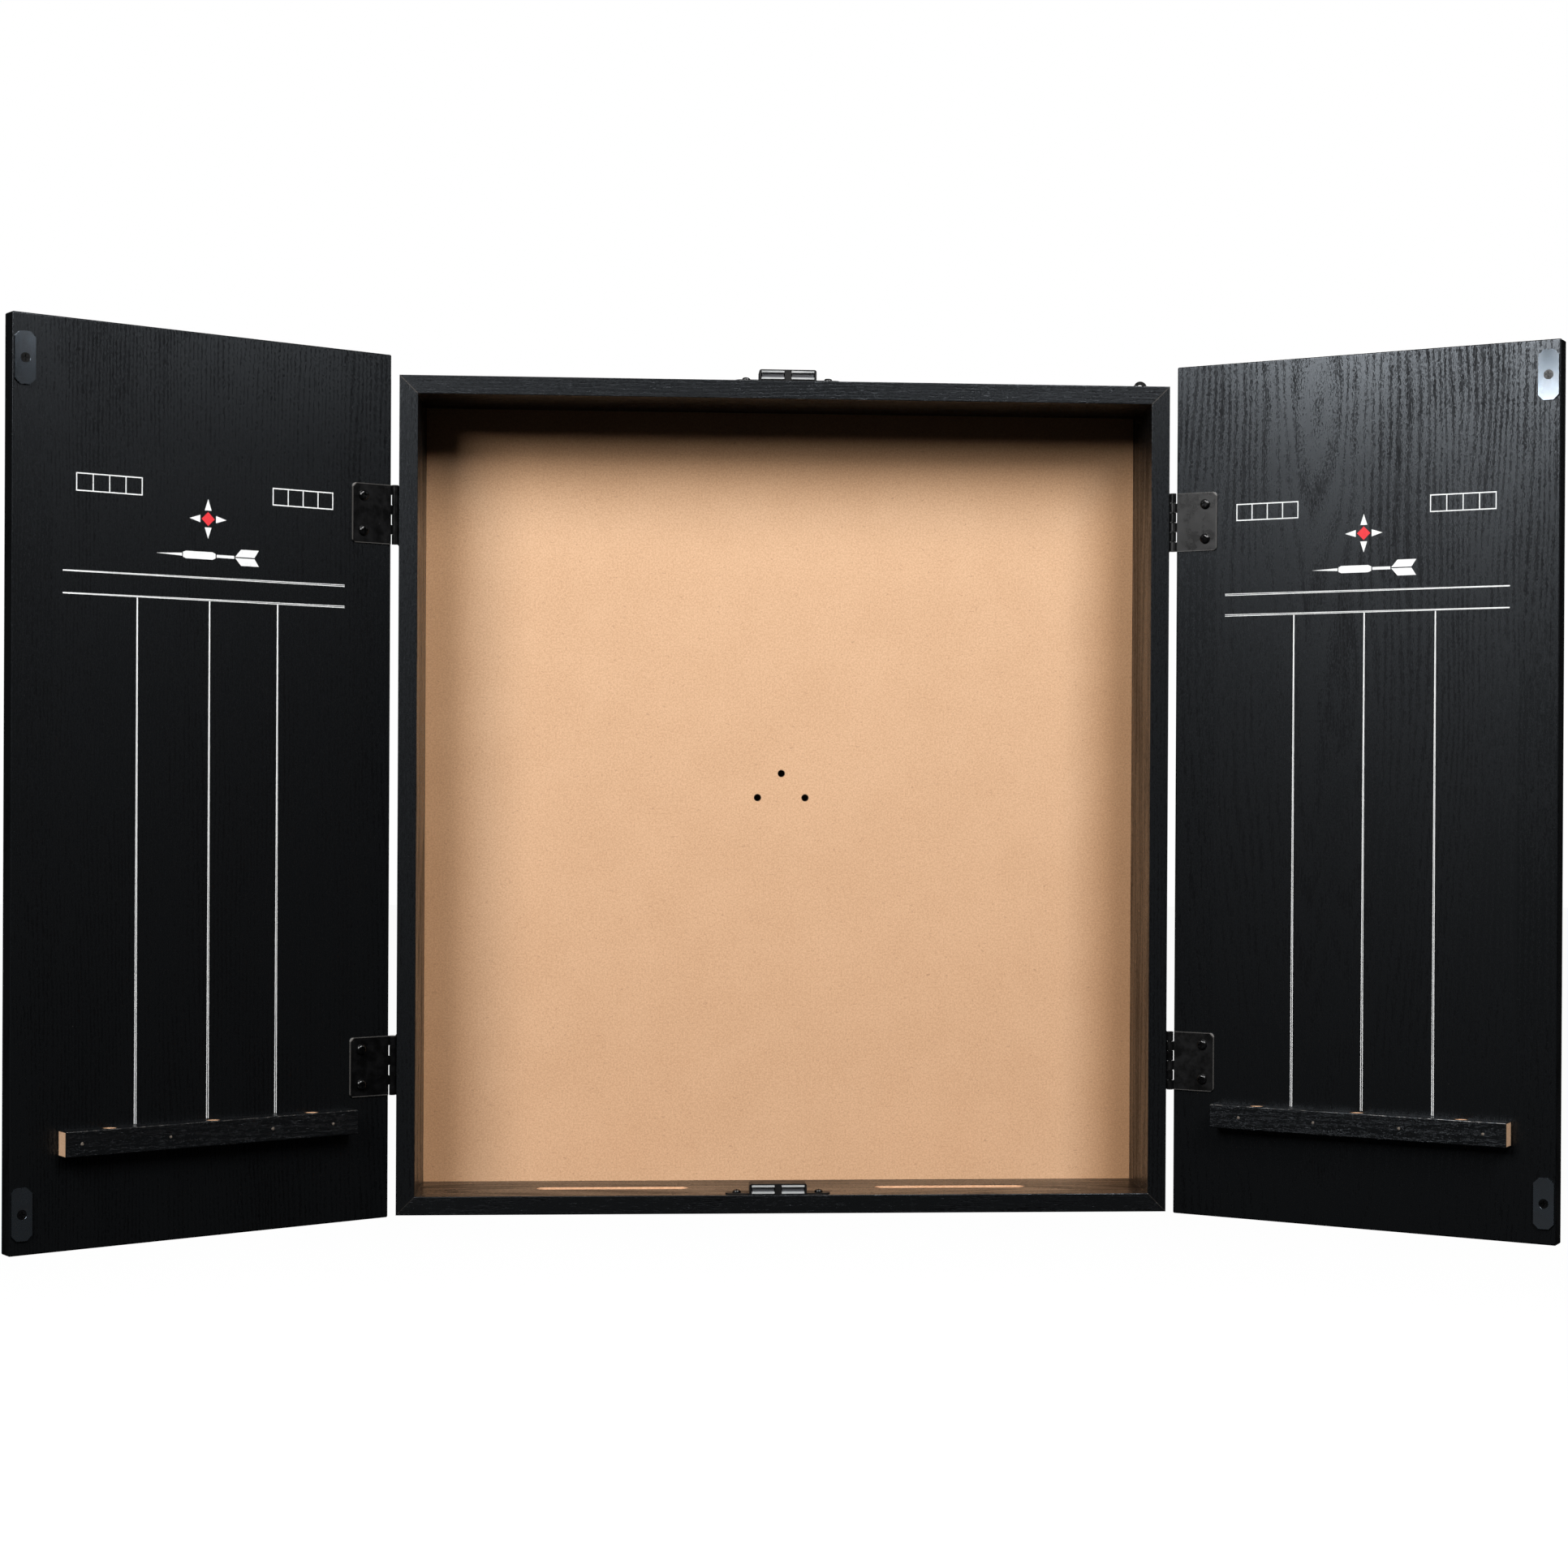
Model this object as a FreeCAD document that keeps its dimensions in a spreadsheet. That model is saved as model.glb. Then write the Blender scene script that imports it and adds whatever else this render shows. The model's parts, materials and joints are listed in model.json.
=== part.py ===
"""Dart board cabinet: a mitred case with two hinged doors, modelled as separate pieces.

Frame: millimetres, +X to the right, +Y to the back, +Z up. The rear edges of the case lie
on Y = 0, and the origin is the middle of the bottom panel's rear edge. The doors stand open
at rest.

Every piece is drawn with its heights counted from the case's middle, and `place` lifts it.
A door's pieces are drawn in the door's own frame: its origin is on the hinge pin's axis, and
the door is shut, so its inner face looks along +Y. `side` is -1 for the left door and +1 for
the right one, and a door reaches from its pin along -side * X.
"""
import FreeCAD, Part
import os
import Sketcher

from FreeCAD import Placement, Rotation, Vector

LEFT = -1
RIGHT = 1
SIDE_NAMES = {LEFT: "left", RIGHT: "right"}
SHEET_NAME = "Dimensions"

# alias, value in millimetres or degrees, what it is
DIMENSIONS = (
    ("case_width", 500, "case, outside"),
    ("case_height", 540, "case, outside"),
    ("case_depth", 80, "case, front edge to rear edge"),
    ("panel_thick", 12, "every case panel"),
    ("edge_round", 0.6, "wrapped long edges of the case panels"),
    ("back_thick", 6, "back panel"),
    ("back_inset", 6, "rear edges to the back panel's rear face"),
    ("groove_depth", 5, "groove that holds the back panel"),
    ("back_gap", 0.3, "back panel's edge to the bottom of its groove"),
    ("bracket_hole_radius", 2.2, "board bracket holes"),
    ("bracket_spread", 16, "middle to each lower bracket hole"),
    ("bracket_low", -0.5, "height of the two lower bracket holes"),
    ("bracket_high", 15.8, "height of the upper bracket hole"),
    ("tray_length", 100, "chalk groove, end to end"),
    ("tray_width", 12, "chalk groove, front to back"),
    ("tray_depth", 6, "chalk groove, down from the floor"),
    ("tray_offset", 111.5, "middle to each chalk groove's centre"),
    ("tray_setback", 35, "case front to the chalk grooves' middle line"),
    ("door_width", 250, "one door"),
    ("door_height", 554, "one door"),
    ("door_drop", 1.2, "door's lower edge below the case"),
    ("door_thick", 12, "one door"),
    ("door_round", 1, "every wrapped edge of a door"),
    ("door_gap", 1.5, "shut door's inner face to the case front"),
    ("left_open", 145.8, "left door at rest, from shut"),
    ("right_open", 147, "right door at rest, from shut"),
    ("pin_out", 2.4, "pin axis outboard of the case side"),
    ("pin_off", 2.1, "pin axis to the door's inner face"),
    ("edge_in", 1.7, "pin axis to the door's hinge edge, along the door"),
    ("pin_radius", 1, "hinge pin"),
    ("pin_bore", 1.05, "running bore in the door leaf's knuckles"),
    ("barrel_radius", 2.1, "hinge knuckles"),
    ("knuckle_gap", 0.15, "half the axial gap between two knuckles"),
    ("hinge_length", 38, "hinge, along its pin"),
    ("leaf_thick", 1, "hinge leaves"),
    ("leaf_reach", 29.8, "pin axis to a leaf's far edge"),
    ("leaf_round", 2.5, "a leaf's far corners"),
    ("leaf_hole_reach", 21.9, "pin axis to a leaf's screws"),
    ("leaf_hole_rise", 11.25, "hinge centre to each leaf screw"),
    ("leaf_hole_radius", 1.8, "screw holes in the leaves"),
    ("left_top_hinge", 180, "hinge centre height"),
    ("right_top_hinge", 181, "hinge centre height"),
    ("left_bottom_hinge", -173.4, "hinge centre height"),
    ("right_bottom_hinge", -171, "hinge centre height"),
    ("rack_length", 192, "dart rack"),
    ("rack_height", 15.3, "dart rack"),
    ("rack_thick", 12, "dart rack, out from the door"),
    ("rack_round", 0.6, "wrapped long edges of a dart rack"),
    ("left_rack_start", 29.9, "pin axis to the rack's near end"),
    ("right_rack_start", 31.9, "pin axis to the rack's near end"),
    ("left_rack_low", -214.3, "height of the rack's lower face"),
    ("right_rack_low", -212, "height of the rack's lower face"),
    ("dart_hole_radius", 4.5, "dart holes"),
    ("dart_hole_pitch", 66.5, "dart hole to dart hole"),
    ("dart_hole_out", 6, "door's inner face to the dart holes' axes"),
    ("brad_radius", 0.6, "brad's shank"),
    ("brad_head_radius", 1, "brad's head"),
    ("brad_head_height", 0.6, "brad's head"),
    ("brad_length", 19, "brad, under its head"),
    ("brad_sink", 0.3, "rack's face to the brad's head"),
    ("strike_width", 12.6, "strike plate"),
    ("strike_height", 31, "strike plate"),
    ("strike_thick", 1.2, "strike plate"),
    ("strike_corner", 3.2, "strike plate's cut corners"),
    ("strike_reach", 244.2, "pin axis to the strike plates' middle line"),
    ("left_top_strike", 256, "strike plate's centre height"),
    ("right_top_strike", 261, "strike plate's centre height"),
    ("left_bottom_strike", -247, "strike plate's centre height"),
    ("right_bottom_strike", -245.8, "strike plate's centre height"),
    ("catch_width", 37.2, "catch housing's block"),
    ("catch_height", 7.2, "catch housing's block"),
    ("catch_depth", 14, "catch housing's block"),
    ("catch_round", 1.4, "catch housing's upper corners"),
    ("catch_wall", 1.3, "catch housing's outer walls"),
    ("catch_rib", 4.2, "catch housing's middle rib"),
    ("catch_cell_depth", 12.4, "catch housing's two cells, from the front"),
    ("catch_floor", 0.9, "plastic under the lower pole plates"),
    ("wing_span", 68, "catch housing's screw wings, tip to tip"),
    ("wing_depth", 10, "catch housing's screw wings"),
    ("wing_thick", 0.8, "catch housing's screw wings"),
    ("wing_hole_reach", 26.7, "catch centre to each screw"),
    ("wing_setback", 2, "block's front to the wings' front"),
    ("pole_width", 14.7, "pole plate"),
    ("pole_thick", 1.2, "pole plate"),
    ("pole_depth", 12, "pole plate, front to back"),
    ("pole_proud", 0.8, "pole plate's front ahead of the housing"),
    ("magnet_width", 14.1, "magnet"),
    ("magnet_depth", 10.4, "magnet"),
    ("magnet_setback", 0.8, "housing's front to the magnet's front"),
    ("top_catch_x", -0.4, "top catch's centre"),
    ("bottom_catch_x", -4, "bottom catch's centre"),
    ("strap_width", 9.2, "hanger strap"),
    ("strap_length", 50, "hanger strap, end to end"),
    ("strap_thick", 1.5, "hanger strap"),
    ("strap_eye_radius", 2.25, "hanger strap's wall screw eye"),
    ("strap_hole_drop", 24, "eye to the upper strap screw"),
    ("strap_hole_pitch", 14, "upper strap screw to the lower one"),
    ("strap_clear", 0.2, "hanger strap to the side of its mortise"),
    ("strap_inset", 5.4, "case side to the hanger straps' middle line"),
    ("left_strap_rise", 11.5, "strap's top above the case"),
    ("right_strap_rise", 15, "strap's top above the case"),
    ("pan_head_radius", 3.3, "hinge screw head"),
    ("pan_head_height", 1.9, "hinge screw head"),
    ("pan_shank_radius", 1.6, "hinge screw shank"),
    ("pan_length", 9.5, "hinge screw, under its head"),
    ("small_head_radius", 2.8, "catch screw head"),
    ("small_head_height", 1.9, "catch screw head"),
    ("small_shank_radius", 1.3, "catch screw shank"),
    ("small_length", 9, "catch screw, under its head"),
    ("flat_head_radius", 2.9, "countersunk screw head"),
    ("flat_head_height", 1.3, "countersunk screw head"),
    ("flat_shank_radius", 1.5, "countersunk screw shank"),
    ("flat_length", 10, "countersunk screw, whole"),
    ("pilot_clear", 0.05, "screw shank to its pilot hole"),
    ("pilot_extra", 0.8, "pilot hole beyond the screw's tip"),
)


class Size:
    """A length or an angle: its number, and the sheet formula that gives the number."""

    def __init__(self, value, text):
        self.value = value
        self.text = text

    def _join(self, sign, value, other):
        return Size(value, f"({self.text} {sign} {other.text})")

    def __add__(self, other):
        other = as_size(other)
        return self._join("+", self.value + other.value, other)

    def __sub__(self, other):
        other = as_size(other)
        return self._join("-", self.value - other.value, other)

    def __mul__(self, other):
        other = as_size(other)
        return self._join("*", self.value * other.value, other)

    def __truediv__(self, other):
        other = as_size(other)
        return self._join("/", self.value / other.value, other)

    def __neg__(self):
        return Size(-self.value, f"(0 - {self.text})")


def as_size(number):
    """A Size as it is, or a plain number as a Size."""
    return number if isinstance(number, Size) else Size(float(number), f"({number})")


def make_sheet(doc):
    """The spreadsheet that holds every driving dimension, and its cells as Sizes by alias."""
    sheet = doc.addObject("Spreadsheet::Sheet", SHEET_NAME)
    sizes = {}
    for row, (alias, value, note) in enumerate(DIMENSIONS, start=1):
        sheet.set(f"A{row}", alias)
        sheet.set(f"B{row}", str(value))
        sheet.set(f"C{row}", note)
        sheet.setAlias(f"B{row}", alias)
        sizes[alias] = Size(float(value), f"{SHEET_NAME}.{alias}")
    doc.recompute()
    return sizes


doc = FreeCAD.newDocument("DartBoardCabinet")
d = make_sheet(doc)
parts = {}

ZERO = as_size(0)
HALF_WIDTH = d["case_width"] / 2
HALF_HEIGHT = d["case_height"] / 2
LIFT = HALF_HEIGHT - d["panel_thick"] / 2       # the case's middle above the origin
FRONT = -d["case_depth"]
INNER_X = HALF_WIDTH - d["panel_thick"]
INNER_Z = HALF_HEIGHT - d["panel_thick"]
PIN_X = HALF_WIDTH + d["pin_out"]
PIN_Y = FRONT - d["door_gap"] + d["pin_off"]
INNER_FACE = -d["pin_off"]                      # the door's inner face in its own frame
DOOR_LOW = -HALF_HEIGHT - d["door_drop"]
PROBE = 5                                       # how far a cutting sketch stands off the piece
KNUCKLES = 6
CATCH_FRONT = FRONT + d["pole_proud"]
CATCH_SCREW_Y = CATCH_FRONT + d["wing_setback"] + d["wing_depth"] / 2


# ---------------------------------------------------------------- drawing helpers

def new_body(label):
    """A PartDesign body for one sub-part, listed for export under its label."""
    body = doc.addObject("PartDesign::Body", label)
    body.Label = label
    parts[label] = body
    return body


def new_sketch(body, role, offset=ZERO):
    """A sketch on one of the body's own origin planes, moved along that plane's normal."""
    plane = next(feature for feature in body.Origin.OriginFeatures if feature.Role == role)
    sketch = body.newObject("Sketcher::SketchObject", f"{body.Name}_sketch")
    sketch.AttachmentSupport = [(plane, "")]
    sketch.MapMode = "FlatFace"
    sketch.AttachmentOffset = Placement(Vector(0, 0, offset.value), Rotation())
    sketch.setExpression("AttachmentOffset.Base.z", offset.text)
    return sketch


def fix_point(sketch, geometry, vertex, x, y):
    """Tie a sketch point to its coordinates, which the sheet drives."""
    for kind, size in (("DistanceX", x), ("DistanceY", y)):
        size = as_size(size)
        index = sketch.addConstraint(Sketcher.Constraint(kind, -1, 1, geometry, vertex, size.value))
        sketch.setExpression(f"Constraints[{index}]", size.text)


def polygon(sketch, corners):
    """A closed outline with straight sides, through the given corners in order."""
    points = [Vector(as_size(x).value, as_size(y).value, 0) for x, y in corners]
    first = sketch.GeometryCount
    for here, there in zip(points, points[1:] + points[:1]):
        sketch.addGeometry(Part.LineSegment(here, there), False)
    count = len(corners)
    for i, (x, y) in enumerate(corners):
        before = first + (i - 1) % count
        sketch.addConstraint(Sketcher.Constraint("Coincident", before, 2, first + i, 1))
        fix_point(sketch, first + i, 1, x, y)


def rectangle(sketch, x0, y0, x1, y1):
    """An upright rectangle between two opposite corners."""
    polygon(sketch, [(x0, y0), (x1, y0), (x1, y1), (x0, y1)])


def circle(sketch, x, y, radius):
    """A circle whose centre and radius the sheet drives."""
    centre = Vector(as_size(x).value, as_size(y).value, 0)
    index = sketch.addGeometry(Part.Circle(centre, Vector(0, 0, 1), radius.value), False)
    fix_point(sketch, index, 3, x, y)
    size = sketch.addConstraint(Sketcher.Constraint("Radius", index, radius.value))
    sketch.setExpression(f"Constraints[{size}]", radius.text)


def pad(body, sketch, length, reverse=False):
    """Add the sketch's outline to the body, along the sketch's normal."""
    feature = body.newObject("PartDesign::Pad", f"{body.Name}_pad")
    feature.Profile = sketch
    feature.Reversed = reverse
    feature.setExpression("Length", length.text)
    doc.recompute()


def pocket(body, sketch, depth, reverse=False):
    """Cut the sketch's outline out of the body, against the sketch's normal, and check it cut."""
    before = body.Shape.Volume
    feature = body.newObject("PartDesign::Pocket", f"{body.Name}_pocket")
    feature.Profile = sketch
    feature.Reversed = reverse
    feature.setExpression("Length", depth.text)
    doc.recompute()
    if not body.Shape.Volume < before:
        raise RuntimeError(f"{feature.Name} cuts nothing")


def near(a, b):
    """Whether two coordinates are the same for the purpose of picking edges."""
    return abs(a - b) < 0.01


def stands_at(box, x):
    """Whether an edge lies wholly at that distance from X = 0, on either side."""
    return near(box.XLength, 0) and near(abs(box.XMin), x.value)


def pick_edges(shape, test):
    """Names of the edges whose bounding box passes the test."""
    return [f"Edge{i}" for i, edge in enumerate(shape.Edges, start=1) if test(edge.BoundBox)]


def dress_edges(body, kind, length, test, size):
    """Fillet or chamfer every edge of the body whose bounding box passes the test."""
    names = pick_edges(body.Shape, test)
    if not names:
        raise RuntimeError(f"{body.Label} has no such edge")
    feature = body.newObject(f"PartDesign::{kind}", f"{body.Name}_{kind.lower()}")
    feature.Base = (feature.BaseFeature, names)
    feature.setExpression(length, size.text)
    doc.recompute()


def round_edges(body, test, radius):
    """Fillet the edges that pass the test."""
    dress_edges(body, "Fillet", "Radius", test, radius)


def place(thing, x, y, z, axis=Vector(0, 0, 1), angle=ZERO):
    """Give a piece its Placement, bound to the sheet. The angle is zero or more."""
    base = [as_size(x), as_size(y), as_size(z) + LIFT]
    thing.Placement = Placement(Vector(*(size.value for size in base)), Rotation(axis, angle.value))
    for letter, size in zip("xyz", base):
        thing.setExpression(f".Placement.Base.{letter}", size.text)
    if angle.value:
        thing.setExpression(".Placement.Rotation.Angle", angle.text)


def place_in_case(thing):
    """Put a piece drawn in the case's place where it belongs."""
    place(thing, 0, 0, 0)


def place_on_door(thing, side, z=ZERO):
    """Put a piece drawn in the door's own frame where the door stands at rest."""
    opened = d[f"{SIDE_NAMES[side]}_open"]
    place(thing, PIN_X * side, PIN_Y, z, Vector(0, 0, side), opened)


def place_on_case_side(thing, side, z):
    """Put a hinge leaf drawn in the door's frame flat on the outside of the case."""
    place(thing, PIN_X * side, PIN_Y, z, Vector(0, 0, -side), as_size(90))


# ---------------------------------------------------------------- fasteners

def cross_recess(body, top, radius, depth):
    """Cut a plus-shaped driver recess down from the height `top`."""
    arm = radius * 0.62
    web = radius * 0.14
    sketch = new_sketch(body, "XY_Plane", top)
    polygon(sketch, [(web, web), (arm, web), (arm, -web), (web, -web), (web, -arm), (-web, -arm),
                     (-web, -web), (-arm, -web), (-arm, web), (-web, web), (-web, arm), (web, arm)])
    pocket(body, sketch, depth)


def shank(body, radius, length):
    """A round shank down from the origin, with a tapered tip."""
    sketch = new_sketch(body, "XY_Plane")
    circle(sketch, 0, 0, radius)
    pad(body, sketch, length, reverse=True)
    tip = -length.value
    dress_edges(body, "Chamfer", "Size", lambda box: near(box.ZMin, tip) and near(box.ZMax, tip),
                radius * 0.75)


def pan_screw(name, prefix):
    """A pan-head screw: its head stands on Z = 0 and its shank points down."""
    body = doc.addObject("PartDesign::Body", name)
    head_height = d[f"{prefix}_head_height"]
    head_radius = d[f"{prefix}_head_radius"]
    shank(body, d[f"{prefix}_shank_radius"], d[f"{prefix}_length"])
    sketch = new_sketch(body, "XY_Plane")
    circle(sketch, 0, 0, head_radius)
    pad(body, sketch, head_height)
    top = head_height.value
    round_edges(body, lambda box: near(box.ZMin, top) and near(box.ZMax, top), head_height * 0.8)
    cross_recess(body, head_height, head_radius, head_height * 0.6)
    return body


def flat_screw(name):
    """A countersunk screw: its head's face lies on Z = 0 and its shank points down."""
    body = doc.addObject("PartDesign::Body", name)
    shank(body, d["flat_shank_radius"], d["flat_length"])
    head = body.newObject("PartDesign::AdditiveCone", f"{name}_head")
    head.setExpression("Radius1", d["flat_shank_radius"].text)
    head.setExpression("Radius2", d["flat_head_radius"].text)
    head.setExpression("Height", d["flat_head_height"].text)
    head.setExpression(".Placement.Base.z", (-d["flat_head_height"]).text)
    doc.recompute()
    cross_recess(body, ZERO, d["flat_head_radius"], d["flat_head_height"] * 0.7)
    return body


def brad(name):
    """A headed brad: its head stands on Z = 0 and its shank points down."""
    body = doc.addObject("PartDesign::Body", name)
    shank(body, d["brad_radius"], d["brad_length"])
    sketch = new_sketch(body, "XY_Plane")
    circle(sketch, 0, 0, d["brad_head_radius"])
    pad(body, sketch, d["brad_head_height"])
    return body


def fastener_group(label, master, spots, turn=Rotation()):
    """One node of identical fasteners: copies of the master, turned the same way, at spots."""
    copies = []
    for spot in spots:
        copy = master.Shape.copy()
        copy.Placement = Placement(Vector(*(as_size(size).value for size in spot)), turn)
        copies.append(copy)
    group = doc.addObject("Part::Feature", label)
    group.Label = label
    group.Shape = Part.makeCompound(copies)
    parts[label] = group
    return group


# ---------------------------------------------------------------- case

def strap_centre(side):
    """X of a hanger strap's middle line, and Z of the strap's top end."""
    x = (HALF_WIDTH - d["strap_inset"]) * side
    return x, HALF_HEIGHT + d[f"{SIDE_NAMES[side]}_strap_rise"]


def cut_back_groove(body):
    """The groove that the back panel's rim sits in."""
    sketch = new_sketch(body, "XZ_Plane", d["back_inset"])
    reach_x = INNER_X + d["groove_depth"]
    reach_z = INNER_Z + d["groove_depth"]
    rectangle(sketch, -reach_x, -reach_z, reach_x, reach_z)
    pocket(body, sketch, d["back_thick"], reverse=True)


def cut_strap_mortise(body, side):
    """The shallow rear mortise that lets a hanger strap lie flush."""
    x, top = strap_centre(side)
    half = d["strap_width"] / 2 + d["strap_clear"]
    sketch = new_sketch(body, "XZ_Plane")
    low = top - d["strap_length"] - d["strap_clear"]
    rectangle(sketch, x - half, low, x + half, HALF_HEIGHT + PROBE)
    pocket(body, sketch, d["strap_thick"] + d["strap_clear"], reverse=True)


def round_front(body, along):
    """Soften the long front edges, which run along the given axis."""
    front = FRONT.value
    span = {"X": "XLength", "Z": "ZLength"}[along]

    def on_front(box):
        return near(box.YMin, front) and near(box.YMax, front) and getattr(box, span) > 100

    round_edges(body, on_front, d["edge_round"])


def strap_screw_heights(side):
    """Heights of the two screws that hold a hanger strap."""
    top = strap_centre(side)[1]
    upper = top - d["strap_width"] / 2 - d["strap_hole_drop"]
    return upper, upper - d["strap_hole_pitch"]


def side_panel(side):
    """An upright case panel with mitred ends, grooved for the back panel."""
    body = new_body(f"{SIDE_NAMES[side]}_side_panel")
    sketch = new_sketch(body, "XZ_Plane")
    outer = HALF_WIDTH * side
    inner = INNER_X * side
    polygon(sketch, [(outer, -HALF_HEIGHT), (outer, HALF_HEIGHT), (inner, INNER_Z), (inner, -INNER_Z)])
    pad(body, sketch, d["case_depth"])
    round_front(body, "Z")
    cut_back_groove(body)
    cut_strap_mortise(body, side)
    x = strap_centre(side)[0]
    sketch = new_sketch(body, "XZ_Plane")
    for z in strap_screw_heights(side):
        circle(sketch, x, z, d["flat_shank_radius"] + d["pilot_clear"])
    pocket(body, sketch, d["flat_length"] + d["pilot_extra"], reverse=True)
    sketch = new_sketch(body, "YZ_Plane", outer)
    for hinge in ("top", "bottom"):
        for z in leaf_screw_heights(side, hinge):
            circle(sketch, PIN_Y + d["leaf_hole_reach"], z, d["pan_shank_radius"] + d["pilot_clear"])
    pocket(body, sketch, d["pan_length"], reverse=side == LEFT)
    place_in_case(body)


def level_panel(label, edge):
    """A top (edge +1) or bottom (edge -1) case panel with mitred ends."""
    body = new_body(label)
    sketch = new_sketch(body, "XZ_Plane")
    outer = HALF_HEIGHT * edge
    inner = INNER_Z * edge
    polygon(sketch, [(-HALF_WIDTH, outer), (HALF_WIDTH, outer), (INNER_X, inner), (-INNER_X, inner)])
    pad(body, sketch, d["case_depth"])
    round_front(body, "X")
    cut_back_groove(body)
    place_in_case(body)
    return body


def cut_catch_pilots(body, floor, catch_x):
    """Pilot holes for a catch's two screws, down from the height `floor`."""
    sketch = new_sketch(body, "XY_Plane", floor)
    for end in (-1, 1):
        x = catch_x + d["wing_hole_reach"] * end
        circle(sketch, x, CATCH_SCREW_Y, d["small_shank_radius"] + d["pilot_clear"])
    pocket(body, sketch, d["small_length"] - d["wing_thick"] + d["pilot_extra"])


def top_panel():
    """The case's lid, with the straps' mortises and the top catch's pilot holes."""
    body = level_panel("top_panel", 1)
    for side in (LEFT, RIGHT):
        cut_strap_mortise(body, side)
    cut_catch_pilots(body, HALF_HEIGHT, d["top_catch_x"])


def bottom_panel():
    """The case's floor, with two round-ended chalk grooves."""
    body = level_panel("bottom_panel", -1)
    cut_catch_pilots(body, -INNER_Z, d["bottom_catch_x"])
    radius = d["tray_width"] / 2
    reach = d["tray_length"] / 2 - radius
    y = FRONT + d["tray_setback"]
    for side in (LEFT, RIGHT):
        middle = d["tray_offset"] * side
        sketch = new_sketch(body, "XY_Plane", -INNER_Z)
        rectangle(sketch, middle - reach, y - radius, middle + reach, y + radius)
        pocket(body, sketch, d["tray_depth"])
        for end in (-1, 1):
            sketch = new_sketch(body, "XY_Plane", -INNER_Z)
            circle(sketch, middle + reach * end, y, radius)
            pocket(body, sketch, d["tray_depth"])


def back_panel():
    """The board's backing, with three holes for the board's bracket."""
    body = new_body("back_panel")
    reach_x = INNER_X + d["groove_depth"] - d["back_gap"]
    reach_z = INNER_Z + d["groove_depth"] - d["back_gap"]
    sketch = new_sketch(body, "XZ_Plane", d["back_inset"])
    rectangle(sketch, -reach_x, -reach_z, reach_x, reach_z)
    circle(sketch, 0, d["bracket_high"], d["bracket_hole_radius"])
    for end in (-1, 1):
        circle(sketch, d["bracket_spread"] * end, d["bracket_low"], d["bracket_hole_radius"])
    pad(body, sketch, d["back_thick"])
    place_in_case(body)


def hanger_strap(side):
    """A round-ended steel strap with a wall screw eye above the case."""
    body = new_body(f"{SIDE_NAMES[side]}_hanger_strap")
    x, top = strap_centre(side)
    radius = d["strap_width"] / 2
    eye = top - radius
    low = top - d["strap_length"] + radius
    sketch = new_sketch(body, "XZ_Plane")
    rectangle(sketch, x - radius, low, x + radius, eye)
    pad(body, sketch, d["strap_thick"])
    for z in (eye, low):
        sketch = new_sketch(body, "XZ_Plane")
        circle(sketch, x, z, radius)
        pad(body, sketch, d["strap_thick"])
    sketch = new_sketch(body, "XZ_Plane")
    circle(sketch, x, eye, d["strap_eye_radius"])
    pocket(body, sketch, d["strap_thick"], reverse=True)
    for z in strap_screw_heights(side):
        countersink(body, x, z, d["strap_thick"])
    place_in_case(body)


def countersink(body, x, z, thick, face=ZERO):
    """A countersunk screw hole forward through a thin plate, from its face at the given Y."""
    turn = Rotation(Vector(1, 0, 0), 90)
    hole = body.newObject("PartDesign::SubtractiveCylinder", f"{body.Name}_hole")
    cone = body.newObject("PartDesign::SubtractiveCone", f"{body.Name}_sink")
    hole.setExpression("Radius", (d["flat_shank_radius"] + d["pilot_clear"] * 2).text)
    hole.setExpression("Height", (thick + 1).text)
    cone.setExpression("Radius1", (d["flat_head_radius"] + d["pilot_clear"] * 2).text)
    cone.setExpression("Radius2", (d["flat_shank_radius"] + d["pilot_clear"]).text)
    cone.setExpression("Height", (d["flat_head_height"] + d["pilot_clear"]).text)
    for cutter in (hole, cone):
        cutter.Placement = Placement(Vector(x.value, face.value, z.value), turn)
        for letter, size in zip("xyz", (x, face, z)):
            cutter.setExpression(f".Placement.Base.{letter}", size.text)
    doc.recompute()


# ---------------------------------------------------------------- hinges

def hinge_height(side, hinge):
    """Height of a hinge's centre."""
    return d[f"{SIDE_NAMES[side]}_{hinge}_hinge"]


def leaf_screw_heights(side, hinge):
    """Heights of the two screws in a leaf."""
    centre = hinge_height(side, hinge)
    return centre - d["leaf_hole_rise"], centre + d["leaf_hole_rise"]


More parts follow.
